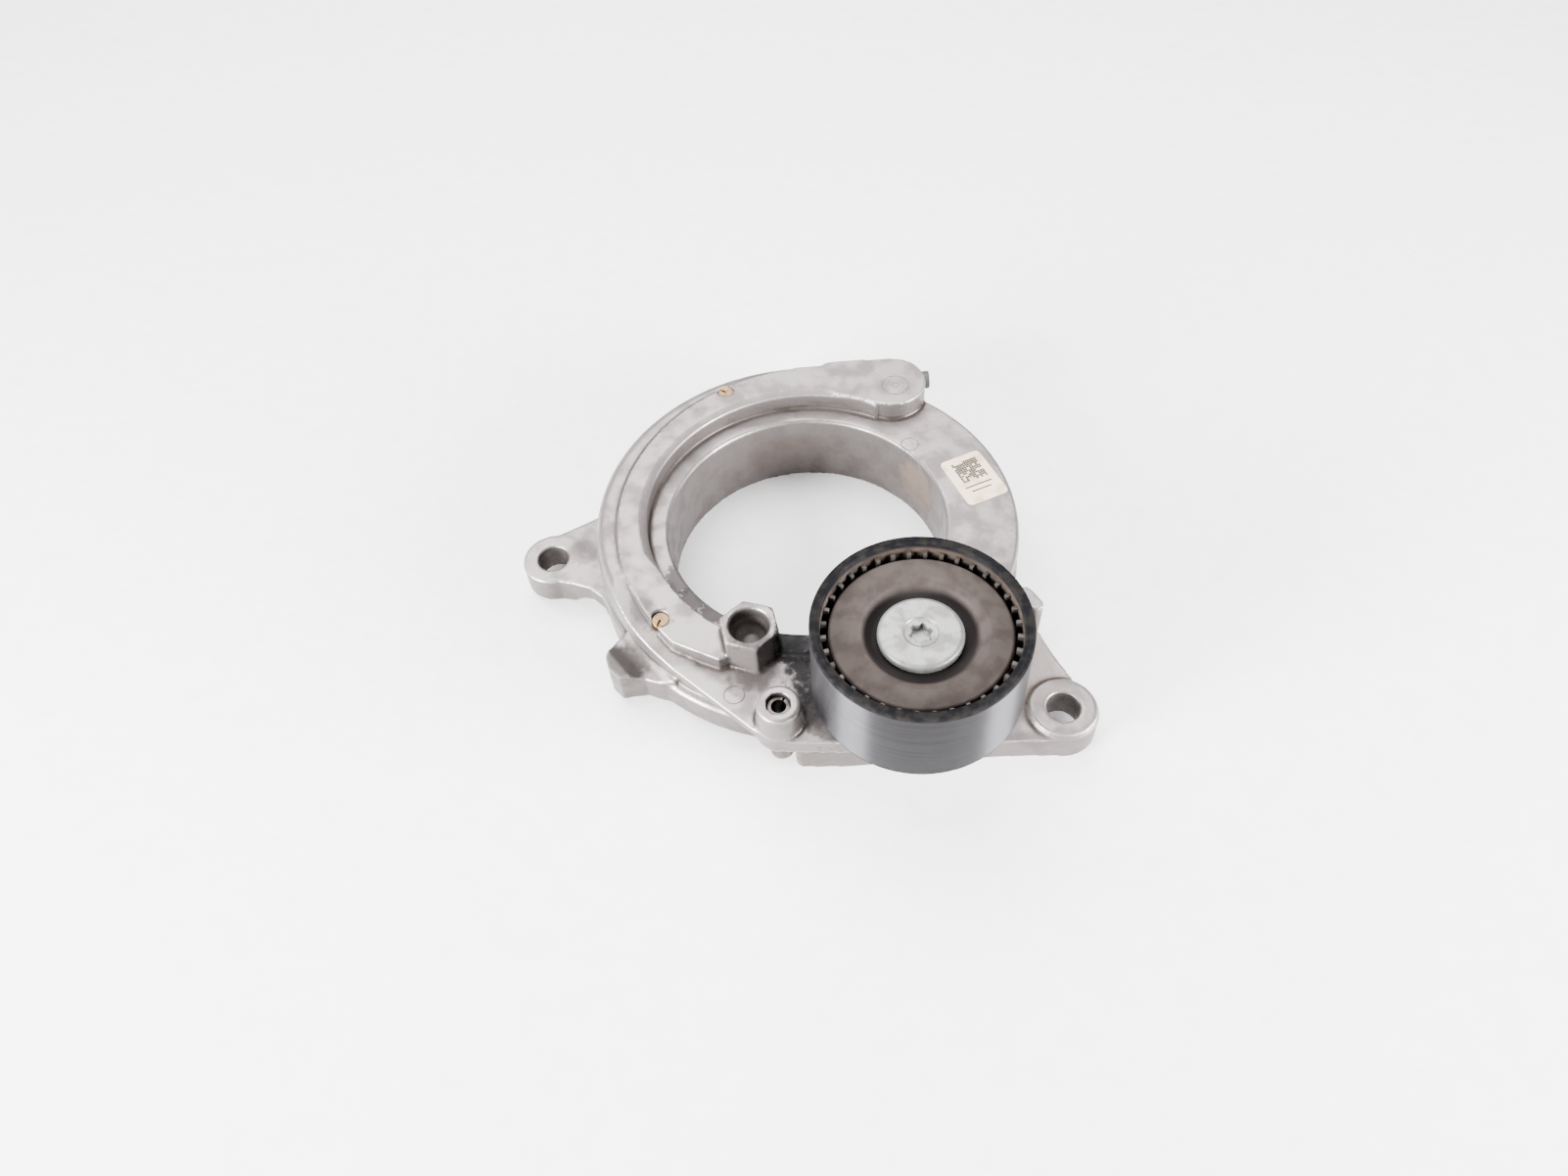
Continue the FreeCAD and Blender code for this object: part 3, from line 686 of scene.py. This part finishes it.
# ---- geometry node trees ----
class Recipe:
    """One Geometry Nodes tree with named inputs that makes what repeats."""

    def __init__(self, name: str) -> None:
        """Start an empty tree with a geometry output."""
        self.tree = bpy.data.node_groups.new(name, "GeometryNodeTree")
        self.tree.interface.new_socket("Geometry", in_out="OUTPUT", socket_type="NodeSocketGeometry")
        self.ids: dict[str, str] = {}
        self.values: dict[str, object] = {}
        self.source = self.tree.nodes.new("NodeGroupInput")
        self.sink = self.tree.nodes.new("NodeGroupOutput")

    def named(self, name: str, kind: str, value: object) -> bpy.types.NodeSocket:
        """Add a named input.

        Args:
            name: what the input is called.
            kind: its socket type, without the NodeSocket prefix.
            value: what this use of the tree sets it to.

        Returns:
            The input's socket inside the tree.
        """
        socket = self.tree.interface.new_socket(name, in_out="INPUT", socket_type="NodeSocket" + kind)
        self.ids[name] = socket.identifier
        self.values[name] = value
        return self.source.outputs[name]

    def node(self, kind: str, links: dict[str, object] | None = None, **settings: object) -> bpy.types.Node:
        """Add a node, set its properties, and fill its inputs by name with sockets or plain values."""
        made = self.tree.nodes.new(kind)
        for name, value in settings.items():
            setattr(made, name, value)
        for name, value in (links or {}).items():
            socket = next(s for s in made.inputs if s.name == name and s.enabled)
            if isinstance(value, bpy.types.NodeSocket):
                self.tree.links.new(value, socket)
            else:
                socket.default_value = value
        return made

    def piece(self, name: str, last: bpy.types.NodeSocket, finish: bpy.types.Material,
              host: bpy.types.Mesh | None = None) -> bpy.types.Object:
        """Close the tree with Realize Instances and Set Material and make its plain mesh.

        Args:
            name: name of the piece.
            last: geometry that the tree has made so far.
            finish: the material of the piece.
            host: mesh that the tree starts from, if it starts from one.

        Returns:
            The piece as a plain mesh.
        """
        skin = self.named("Finish", "Material", finish)
        real = self.node("GeometryNodeRealizeInstances", {"Geometry": last})
        painted = self.node("GeometryNodeSetMaterial", {"Geometry": real.outputs[0], "Material": skin})
        self.tree.links.new(painted.outputs[0], self.sink.inputs[0])
        thing = piece_of(name, host or bpy.data.meshes.new(name))
        modifier = thing.modifiers.new("recipe", "NODES")
        modifier.node_group = self.tree
        for label, identifier in self.ids.items():
            if label in self.values and self.values[label] is not None:
                modifier[identifier] = self.values[label]
        settled(thing)
        return dressed(thing, finish)


# ---- sub-assemblies ----
class SubAssembly:
    """A group of pieces that are built and dressed together."""

    def build(self) -> None:
        """Make the pieces."""
        raise NotImplementedError

    def dress(self, node: str, finish: bpy.types.Material, slot: str) -> None:
        """Put a finish on a CAD node."""
        thing = dressed(frame["nodes"][node], finish)
        log.info("dressed %s", node)

    def stand_in(self, thing: bpy.types.Object, body: str, slot: str, *nodes: str) -> None:
        """Let a piece ride on a body and stand for CAD nodes."""
        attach(thing, body)
        if nodes:
            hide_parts(*nodes)
        log.info("made %s, %d faces", thing.name, len(thing.data.polygons))


@dataclass
class BaseCasting(SubAssembly):
    """Fixed base with its two ears, hook lug and side plate."""

    recipe: Tumbled = field(default_factory=lambda: Tumbled(0.55, 2, 0.5))
    stains_and_shade: tuple[StainAndShade, ...] = (
        StainAndShade((-60, -41, 13), (9, 9, 7), 0.75, DirtAndShade.SOOT_AND_SHADE, 3.0),
        StainAndShade((-18, -71, 8), (28, 9, 9), 0.8, DirtAndShade.TARNISH, 2.4),
        StainAndShade((6, -82, 8), (28, 13, 12), 0.85, DirtAndShade.SOOT_AND_SHADE, 3.0),
        StainAndShade((62, -52, 12), (12, 16, 8), 0.35, DirtAndShade.TARNISH, 4.0),
        StainAndShade((-74, 6, 12.5), (6, 7, 3), 0.4, DirtAndShade.SOOT_AND_SHADE, 2.0),
    )

    def build(self) -> None:
        """Make the casting."""
        thing = self.recipe.piece("cast_base", "base_casting")
        relief_of(thing.data)
        dressed(thing, CastSkin("cast_base_skin", self.stains_and_shade).material())
        self.stand_in(thing, "base", "die_cast", "base_casting")


@dataclass
class SwingArm(SubAssembly):
    """Swing arm casting with its raised spring housing, hexagon, pin boss and ejector marks."""

    recipe: Tumbled = field(default_factory=lambda: Tumbled(0.5, 2, 0.42))
    low_flat: float = 23.2
    flat: float = 26.0
    plateau: float = 33.0
    mark_line: float = 0.13
    stains_and_shade: tuple[StainAndShade, ...] = (
        StainAndShade((-1, -53, 23), (12, 15, 8), 1.0, DirtAndShade.GREASE, 2.4),
        StainAndShade((-8.5, -47.5, 29), (6.5, 9, 10), 1.0, DirtAndShade.GREASE, 1.5),
        StainAndShade((-3, -68, 21), (8, 9, 9), 0.95, DirtAndShade.GREASE, 2.4),
        StainAndShade((3, -60, 23), (8, 10, 3), 0.6, DirtAndShade.SOOT_AND_SHADE, 0.9),
        StainAndShade((2, -72, 20), (11, 9, 8), 0.85, DirtAndShade.SOOT_AND_SHADE, 1.6),
        StainAndShade((-41, -20, 26), (5, 8, 1.6), 0.72, DirtAndShade.SOOT_AND_SHADE, 0.8),
        # painted shade: these three soot patches darken the band along the foot of the plateau's inner step wall
        StainAndShade((12, 48, 26), (17, 4.5, 3.5), 0.5, DirtAndShade.SOOT_AND_SHADE, 4.0),
        StainAndShade((-16, 47, 26), (17, 4.5, 3.5), 0.5, DirtAndShade.SOOT_AND_SHADE, 4.0),
        StainAndShade((-37, 33, 26), (9, 12, 3.5), 0.4, DirtAndShade.SOOT_AND_SHADE, 4.0),
        StainAndShade((-36.5, -28, 26), (6, 6, 1.6), 0.82, DirtAndShade.SOOT_AND_SHADE, 0.8),
        StainAndShade((-30, -34, 26), (6, 5, 1.6), 0.82, DirtAndShade.SOOT_AND_SHADE, 0.8),
        StainAndShade((-46.5, -37.5, 28), (5.0, 4.4, 4), 0.72, DirtAndShade.SOOT_AND_SHADE, 1.4),
        StainAndShade((-51.5, -33, 29), (5, 6, 3), 0.55, DirtAndShade.SOOT_AND_SHADE, 2.0),
        StainAndShade((-38.7, -44, 25.5), (5.0, 4.6, 3), 0.6, DirtAndShade.SOOT_AND_SHADE, 0.7),
        StainAndShade((-23.6, 54.7, 33), (4.2, 3.8, 2), 0.5, DirtAndShade.TARNISH, 1.4),
        StainAndShade((38, 21, 14), (7, 15, 12), 0.85, DirtAndShade.TARNISH, 2.5),
        StainAndShade((-10, 44, 12), (30, 4, 9), 0.35, DirtAndShade.TARNISH, 4.0),
        StainAndShade((-19.8, -45.9, 28.5), (5.4, 5.4, 3.4), 0.5, DirtAndShade.SOOT_AND_SHADE, 1.5),
        StainAndShade((-19, -57, 31), (14, 8, 11), 0.85, DirtAndShade.SOOT_AND_SHADE, 3.5),
    )

    def build(self) -> None:
        """Make the casting and its ejector marks."""
        thing = self.recipe.piece("cast_arm", "arm_casting")
        pitted(thing.data, [((-38.7, -44.0, 25.6), 3.6), ((-1, -50, 23.2), 7.0), ((3, -60, 23.2), 6.0)], 0.9)
        relief_of(thing.data)
        skin = CastSkin("cast_arm_skin", self.stains_and_shade).material()
        dressed(thing, skin)
        self.stand_in(thing, "arm", "die_cast", "arm_casting")
        self.stand_in(self.ejector_marks(), "arm", "die_cast")

    def ejector_marks(self) -> bpy.types.Object:
        """Make the thin rings that the mould's ejector pins leave.

        Returns:
            One piece with every ring.
        """
        marks = [(-25.7, -62.0, self.low_flat, 3.0), (36.7, 29.5, self.flat, 2.9), (34.2, 51.0, self.plateau, 4.5),
                 (34.2, 51.0, self.plateau, 1.1)]
        host = bpy.data.meshes.new("ejector_marks")
        host.from_pydata([(x * MM, y * MM, z * MM) for x, y, z, _ in marks], [], [])
        layer = host.attributes.new("mark_radius", "FLOAT", "POINT")
        layer.data.foreach_set("value", [radius * MM for *_, radius in marks])
        recipe = Recipe("ejector_ring_recipe")
        points = recipe.named("Marks", "Geometry", None)
        line = recipe.named("Line", "Float", self.mark_line * MM)
        radius = recipe.node("GeometryNodeInputNamedAttribute", {"Name": "mark_radius"}, data_type="FLOAT")
        circle = recipe.node("GeometryNodeCurvePrimitiveCircle", {"Resolution": 48, "Radius": 1.0})
        copies = recipe.node("GeometryNodeInstanceOnPoints", {
            "Points": points, "Instance": circle.outputs["Curve"], "Scale": radius.outputs["Attribute"]})
        loops = recipe.node("GeometryNodeRealizeInstances", {"Geometry": copies.outputs[0]})
        wire = recipe.node("GeometryNodeCurvePrimitiveCircle", {"Resolution": 8, "Radius": line})
        rings = recipe.node("GeometryNodeCurveToMesh", {
            "Curve": loops.outputs[0], "Profile Curve": wire.outputs["Curve"]})
        finish = WornMetal("mark_shadow", (0.10, 0.088, 0.083), (0.07, 0.06, 0.055), 0.6, (0.5, 0.6)).material()
        return recipe.piece("ejector_marks", rings.outputs[0], finish, host)


@dataclass
class PivotPack(SubAssembly):
    """Everything between the castings: bush, washers, retaining ring, spring, seats, shell, plug, pin."""

    spring_path_r: float = 56.4
    spring_z: float = 23.2
    spring_span: tuple[float, float] = (66.5, 218.0)

    def build(self) -> None:
        """Dress the CAD nodes."""
        dark = Moulded("pivot_polymer", (0.050, 0.046, 0.043), (0.025, 0.023, 0.022), 0.45).material()
        tan = Moulded("shell_polymer", (0.30, 0.155, 0.050), (0.13, 0.065, 0.022), 0.42, 1.6).material()
        rubber = Moulded("plug_rubber", (0.020, 0.020, 0.021), (0.045, 0.042, 0.040), 0.55).material()
        wire = WornMetal("spring_wire", (0.17, 0.165, 0.16), (0.09, 0.085, 0.08), 0.9, (0.30, 0.42)).material()
        zinc = WornMetal("ring_zinc", (0.56, 0.56, 0.54), (0.40, 0.39, 0.36), 0.85, (0.30, 0.45)).material()
        pin = WornMetal("pin_skin", (0.085, 0.070, 0.064), (0.035, 0.030, 0.027), 0.85, (0.32, 0.48), 3.0).material()
        for node in ("pivot_bush", "damping_disc", "thrust_washer", "spring_seat_fixed", "spring_seat_moving"):
            self.dress(node, dark, "dark_polymer")
        self.dress("guide_shell", tan, "tan_polymer")
        self.dress("channel_plug", rubber, "black_rubber")
        self.coil_spring(wire)
        self.dress("retaining_ring", zinc, "zinc_steel")
        self.dress("stop_pin", pin, "pin_steel")

    def coil_spring(self, wire: bpy.types.Material) -> None:
        """Make the curved spring between its two seats from the CAD spring.

        Args:
            wire: finish of the wire.
        """
        spring = merged_copy("coil_spring", "arc_spring")
        smooth(spring.data)
        dressed(spring, wire)
        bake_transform(spring)
        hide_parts("arc_spring")
        log.info("made %s, %d faces", spring.name, len(spring.data.polygons))


@dataclass
class Pulley(SubAssembly):
    """Idler pulley: polished shell with fins, pressed shields, sealed bearing and its bolt."""

    axis: tuple[float, float] = (26.7, -66.0)
    radius: float = 30.0
    low: float = 29.2
    high: float = 57.5
    wall: float = 2.9
    hub_r: float = 22.6
    bearing_r: float = 20.0
    bearing_low: float = 37.35
    bearing_high: float = 49.35
    shield_r: float = 24.9
    shield_drop: float = 3.6
    fins: int = 36
    fin_size: Point = (1.7, 1.1, 10.6)
    bolt_recipe: Tumbled = field(default_factory=lambda: Tumbled(0.17, 3, 0.4))

    def build(self) -> None:
        """Make the shell, fins, front shield and bolt, and dress the bearing."""
        shell_finish = BeltPolish("belt_polish", self.axis, self.radius, self.low, self.high).material()
        shell = self.shell()
        dressed(shell, shell_finish)
        self.stand_in(shell, "pulley", "black_plastic", "pulley_rim")
        self.stand_in(self.fin_ring(), "pulley", "black_plastic")
        self.stand_in(self.front_shield(), "arm", "shield_steel", "dust_shield_front")
        bolt = self.bolt_recipe.piece("bolt_head", "pulley_bolt")
        zinc_flake = WornMetal("bolt_zinc_flake", (0.24, 0.24, 0.235), (0.17, 0.162, 0.154), 0.6, (0.42, 0.52),
                               4.0, 0.35, 0.03)
        dressed(bolt, zinc_flake.material())
        self.stand_in(bolt, "arm", "bolt_zinc", "pulley_bolt")
        self.dress_bearing()

    def shell(self) -> bpy.types.Object:
        """Turn the shell: outer wall, thin web and hub in one outline."""
        inner = self.radius - self.wall
        middle = (self.low + self.high) / 2
        hub_low, hub_high = self.bearing_low - 0.6, self.bearing_high + 0.6
        bore = self.bearing_r + 0.02
        outline = [(bore, hub_low), (self.hub_r, hub_low), (self.hub_r, middle - 1.1), (inner, middle - 1.1),
                   (inner, self.low), (self.radius, self.low), (self.radius, self.high), (inner + 0.2, self.high),
                   (inner, self.high - 1.2), (inner, middle + 1.1), (self.hub_r, middle + 1.1),
                   (self.hub_r, hub_high), (bore, hub_high)]
        return lathed("pulley_shell", softened(outline, 0.8, 5), self.axis, 240)

    def fin_ring(self) -> bpy.types.Object:
        """Make the stiffening fins on the inside of the shell.

        Returns:
            One piece with every fin, above and below the web.
        """
        recipe = Recipe("fin_ring_recipe")
        count = recipe.named("Fins", "Int", self.fins)
        radius = recipe.named("Fin Radius", "Float", (self.radius - self.wall - self.fin_size[0] / 2 + 0.1) * MM)
        size = recipe.named("Fin Size", "Vector", tuple(c * MM for c in self.fin_size))
        middle = (self.low + self.high) / 2
        circle = recipe.node("GeometryNodeMeshCircle", {"Vertices": count, "Radius": radius})
        block = recipe.node("GeometryNodeMeshCube", {"Size": size})
        index = recipe.node("GeometryNodeInputIndex")
        step = recipe.node("ShaderNodeMath", operation="DIVIDE")
        step.inputs[0].default_value = 2 * math.pi
        recipe.tree.links.new(count, step.inputs[1])
        turn = recipe.node("ShaderNodeMath", operation="MULTIPLY")
        recipe.tree.links.new(index.outputs[0], turn.inputs[0])
        recipe.tree.links.new(step.outputs[0], turn.inputs[1])
        spin = recipe.node("ShaderNodeCombineXYZ", {"Z": turn.outputs[0]})
        fins = recipe.node("GeometryNodeInstanceOnPoints", {
            "Points": circle.outputs["Mesh"], "Instance": block.outputs["Mesh"], "Rotation": spin.outputs[0]})
        both = recipe.node("GeometryNodeJoinGeometry")
        lift = self.fin_size[2] / 2 + 0.6
        for side in (1, -1):
            drop = 0.0 if side > 0 else -0.9
            moved = recipe.node("GeometryNodeTransform", {"Geometry": fins.outputs[0], "Translation": (
                self.axis[0] * MM, self.axis[1] * MM, (middle + side * lift - drop) * MM)})
            recipe.tree.links.new(moved.outputs[0], both.inputs[0])
        finish = WornMetal("fin_grime", (0.030, 0.023, 0.019), (0.010, 0.009, 0.008), 0.1, (0.5, 0.65), 2.0).material()
        return recipe.piece("pulley_fins", both.outputs[0], finish)

    def front_shield(self) -> bpy.types.Object:
        """Turn the dished front shield with its rounded well."""
        low, top = self.bearing_high, self.high - self.shield_drop
        well = low + 0.1
        outline = [(5.3, well), (13.6, well), (15.2, well + 0.5), (16.8, top - 1.7), (18.4, top - 1.0),
                   (self.shield_r - 0.5, top - 1.0), (self.shield_r, top - 1.3), (self.shield_r, top - 0.5),
                   (self.shield_r - 0.5, top), (18.6, top), (16.7, top - 0.5), (14.9, well + 1.7),
                   (13.2, well + 1.0), (5.3, well + 1.0)]
        thing = lathed("front_shield", softened(outline, 1.6, 5), self.axis, 192)
        return dressed(thing, ShieldTaupe("shield_taupe", self.axis).material())

    def dress_bearing(self) -> None:
        """Dress the bearing, its seals, the spacer and the rear shield."""
        steel = WornMetal("bearing_bright", (0.58, 0.58, 0.59), (0.48, 0.48, 0.49), 1.0, (0.16, 0.24), 8, 0.1, 0.005)
        zinc = WornMetal("spacer_zinc", (0.56, 0.56, 0.54), (0.40, 0.39, 0.36), 0.85, (0.30, 0.45))
        rear = WornMetal("rear_shield_taupe", (0.16, 0.135, 0.12), (0.11, 0.09, 0.08), 0.45, (0.44, 0.55), 6.0)
        cage = Moulded("cage_polymer", (0.10, 0.085, 0.06), (0.06, 0.05, 0.04), 0.45)
        seal = Moulded("seal_rubber", (0.020, 0.020, 0.021), (0.040, 0.038, 0.036), 0.5)
        bright = steel.material()
        for node in ("bearing_outer_ring", "bearing_inner_ring", "bearing_balls"):
            self.dress(node, bright, "bearing_steel")
        rubber = seal.material()
        for node in ("bearing_seal_front", "bearing_seal_rear"):
            self.dress(node, rubber, "black_rubber")
        self.dress("ball_cage", cage.material(), "dark_polymer")
        self.dress("pulley_spacer", zinc.material(), "zinc_steel")
        self.dress("dust_shield_rear", rear.material(), "shield_steel")


@dataclass
class LabelSticker(SubAssembly):
    """Small paper label with a generic block of print that says nothing."""

    centre: Point = (55.4, 12.4, 26.15)
    turn: float = 20.5
    cells: int = 11
    cell: float = 0.74
    ink_height: float = 0.02
    print_at: tuple[float, float] = (0.3, 3.4)

    def build(self) -> None:
        """Dress the card and print on it."""
        card = Moulded("label_card", (0.66, 0.53, 0.39), (0.50, 0.37, 0.24), 0.6, 5.0).material()
        self.dress("label_sticker", card, "paper_label")
        ink = Moulded("label_ink", (0.018, 0.014, 0.012), (0.045, 0.034, 0.028), 0.7, 1.0).material()
        self.stand_in(self.print_block(ink), "arm", "paper_label")

    def print_block(self, ink: bpy.types.Material) -> bpy.types.Object:
        """Scatter square ink cells over a grid, with two plain bars beneath them.

        Args:
            ink: finish of the print.

        Returns:
            One piece with all the ink.
        """
        recipe = Recipe("print_block_recipe")
        cells = recipe.named("Cells", "Int", self.cells)
        pitch = recipe.named("Block Size", "Float", self.cells * self.cell * MM)
        size = recipe.named("Cell Size", "Vector", (self.cell * MM, self.cell * MM, self.ink_height * MM))
        seed = recipe.named("Seed", "Int", 11)
        grid = recipe.node("GeometryNodeMeshGrid", {
            "Size X": pitch, "Size Y": pitch, "Vertices X": cells, "Vertices Y": cells})
        chance = recipe.node("FunctionNodeRandomValue", {"Probability": 0.70, "Seed": seed}, data_type="BOOLEAN")
        cell = recipe.node("GeometryNodeMeshCube", {"Size": size})
        dots = recipe.node("GeometryNodeInstanceOnPoints", {
            "Points": grid.outputs["Mesh"], "Selection": chance.outputs[3], "Instance": cell.outputs["Mesh"]})
        both = recipe.node("GeometryNodeJoinGeometry")
        block = recipe.node("GeometryNodeTransform", {
            "Geometry": dots.outputs[0], "Translation": (self.print_at[0] * MM, self.print_at[1] * MM, 0)})
        recipe.tree.links.new(block.outputs[0], both.inputs[0])
        for row, length in enumerate((9.5, 7.0)):
            bar = recipe.node("GeometryNodeMeshCube", {"Size": (length * MM, 0.55 * MM, self.ink_height * MM)})
            moved = recipe.node("GeometryNodeTransform", {
                "Geometry": bar.outputs["Mesh"], "Translation": (0, (-3.2 - 2.1 * row) * MM, 0)})
            recipe.tree.links.new(moved.outputs[0], both.inputs[0])
        placed = recipe.node("GeometryNodeTransform", {
            "Geometry": both.outputs[0], "Translation": tuple(c * MM for c in self.centre),
            "Rotation": (0, 0, math.radians(self.turn))})
        return recipe.piece("label_print", placed.outputs[0], ink)


# ---- studio ----
@dataclass
class Studio:
    """Pale floor, soft light and the camera."""

    eye: Point = (-8.9, -249.1, 315.3)
    down: float = 52.45
    roll: float = -4.46
    lens: float = 27.45
    sky: float = 0.20
    floor_colour: Colour = (0.93, 0.925, 0.925)
    floor_gap: float = 0.05

    def build(self) -> None:
        """Make the floor, the sky, the lamps and the camera."""
        self.floor()
        self.light()
        self.camera()

    def floor(self) -> None:
        """Lay a wide pale floor under the lowest point."""
        low = CAD_BOX[0].z - self.floor_gap * MM
        half = 3.0
        mesh = bpy.data.meshes.new("floor")
        mesh.from_pydata([(-half, -half, low), (half, -half, low), (half, half, low), (-half, half, low)], [],
                         [(0, 1, 2, 3)])
        sheet = piece_of("floor", mesh)
        paint = Shader("floor_pale")
        shade = tuple(c * 0.96 for c in self.floor_colour)
        paint.wire(paint.tint(paint.span(paint.grain(9.0, 3.0), 0.4, 0.7), self.floor_colour, shade),
                   paint.surface.inputs["Base Color"])
        paint.fixed(Roughness=0.6)
        paint.rough(paint.grain(6.0, 2.0), 0.15)
        dressed(sheet, paint.material)

    def light(self) -> None:
        """Light the scene from a pale sky and large soft lamps."""
        world = bpy.data.worlds.new("sky")
        world.use_nodes = True
        sky = world.node_tree.nodes["Background"]
        sky.inputs["Color"].default_value = (1.0, 0.99, 0.985, 1.0)
        sky.inputs["Strength"].default_value = self.sky
        bpy.context.scene.world = world
        self.lamp("key", (-0.25, 0.55, 1.20), (1.5, 1.2), 66.0, 180.0)
        self.lamp("left", (-0.80, -0.50, 0.22), (0.42, 0.55), 42.0, 120.0)
        self.lamp("right", (0.84, -0.46, 0.22), (0.42, 0.55), 38.0, 120.0)

    def lamp(self, name: str, place: Point, size: tuple[float, float], power: float, spread: float) -> None:
        """Hang a rectangular lamp that points at the object.

        Args:
            name: name of the lamp.
            place: where it hangs, in metres.
            size: its width and height, in metres.
            power: its power in watts.
            spread: how wide its light fans out, in degrees.
        """
        data = bpy.data.lights.new(name, "AREA")
        data.shape = "RECTANGLE"
        data.size, data.size_y = size
        data.energy = power
        data.spread = math.radians(spread)
        lamp = bpy.data.objects.new(name, data)
        lamp.location = place
        lamp.rotation_euler = (-Vector(place)).to_track_quat("-Z", "Y").to_euler()
        bpy.context.scene.collection.objects.link(lamp)

    def camera(self) -> None:
        """Set up the camera above and in front of the object."""
        data = bpy.data.cameras.new("camera")
        data.lens = self.lens
        data.sensor_width = 36.0
        data.clip_start = 0.01
        tilt, turn = math.radians(self.down), math.radians(self.roll)
        ahead = Vector((0, math.cos(tilt), -math.sin(tilt)))
        right = Vector((1, 0, 0))
        up = right.cross(ahead)
        level = math.cos(turn) * right + math.sin(turn) * up
        top = -math.sin(turn) * right + math.cos(turn) * up
        camera = bpy.data.objects.new("camera", data)
        camera.matrix_world = Matrix.Translation(Vector(self.eye) * MM) @ Matrix(
            (level, top, -ahead)).transposed().to_4x4()
        bpy.context.scene.collection.objects.link(camera)
        bpy.context.scene.camera = camera


def main() -> None:
    """Build every sub-assembly in order, then the studio."""
    logging.basicConfig(level=logging.INFO)
    for part in (BaseCasting(), SwingArm(), PivotPack(), Pulley(), LabelSticker()):
        part.build()
    Studio().build()


if __name__ == "__main__":
    main()
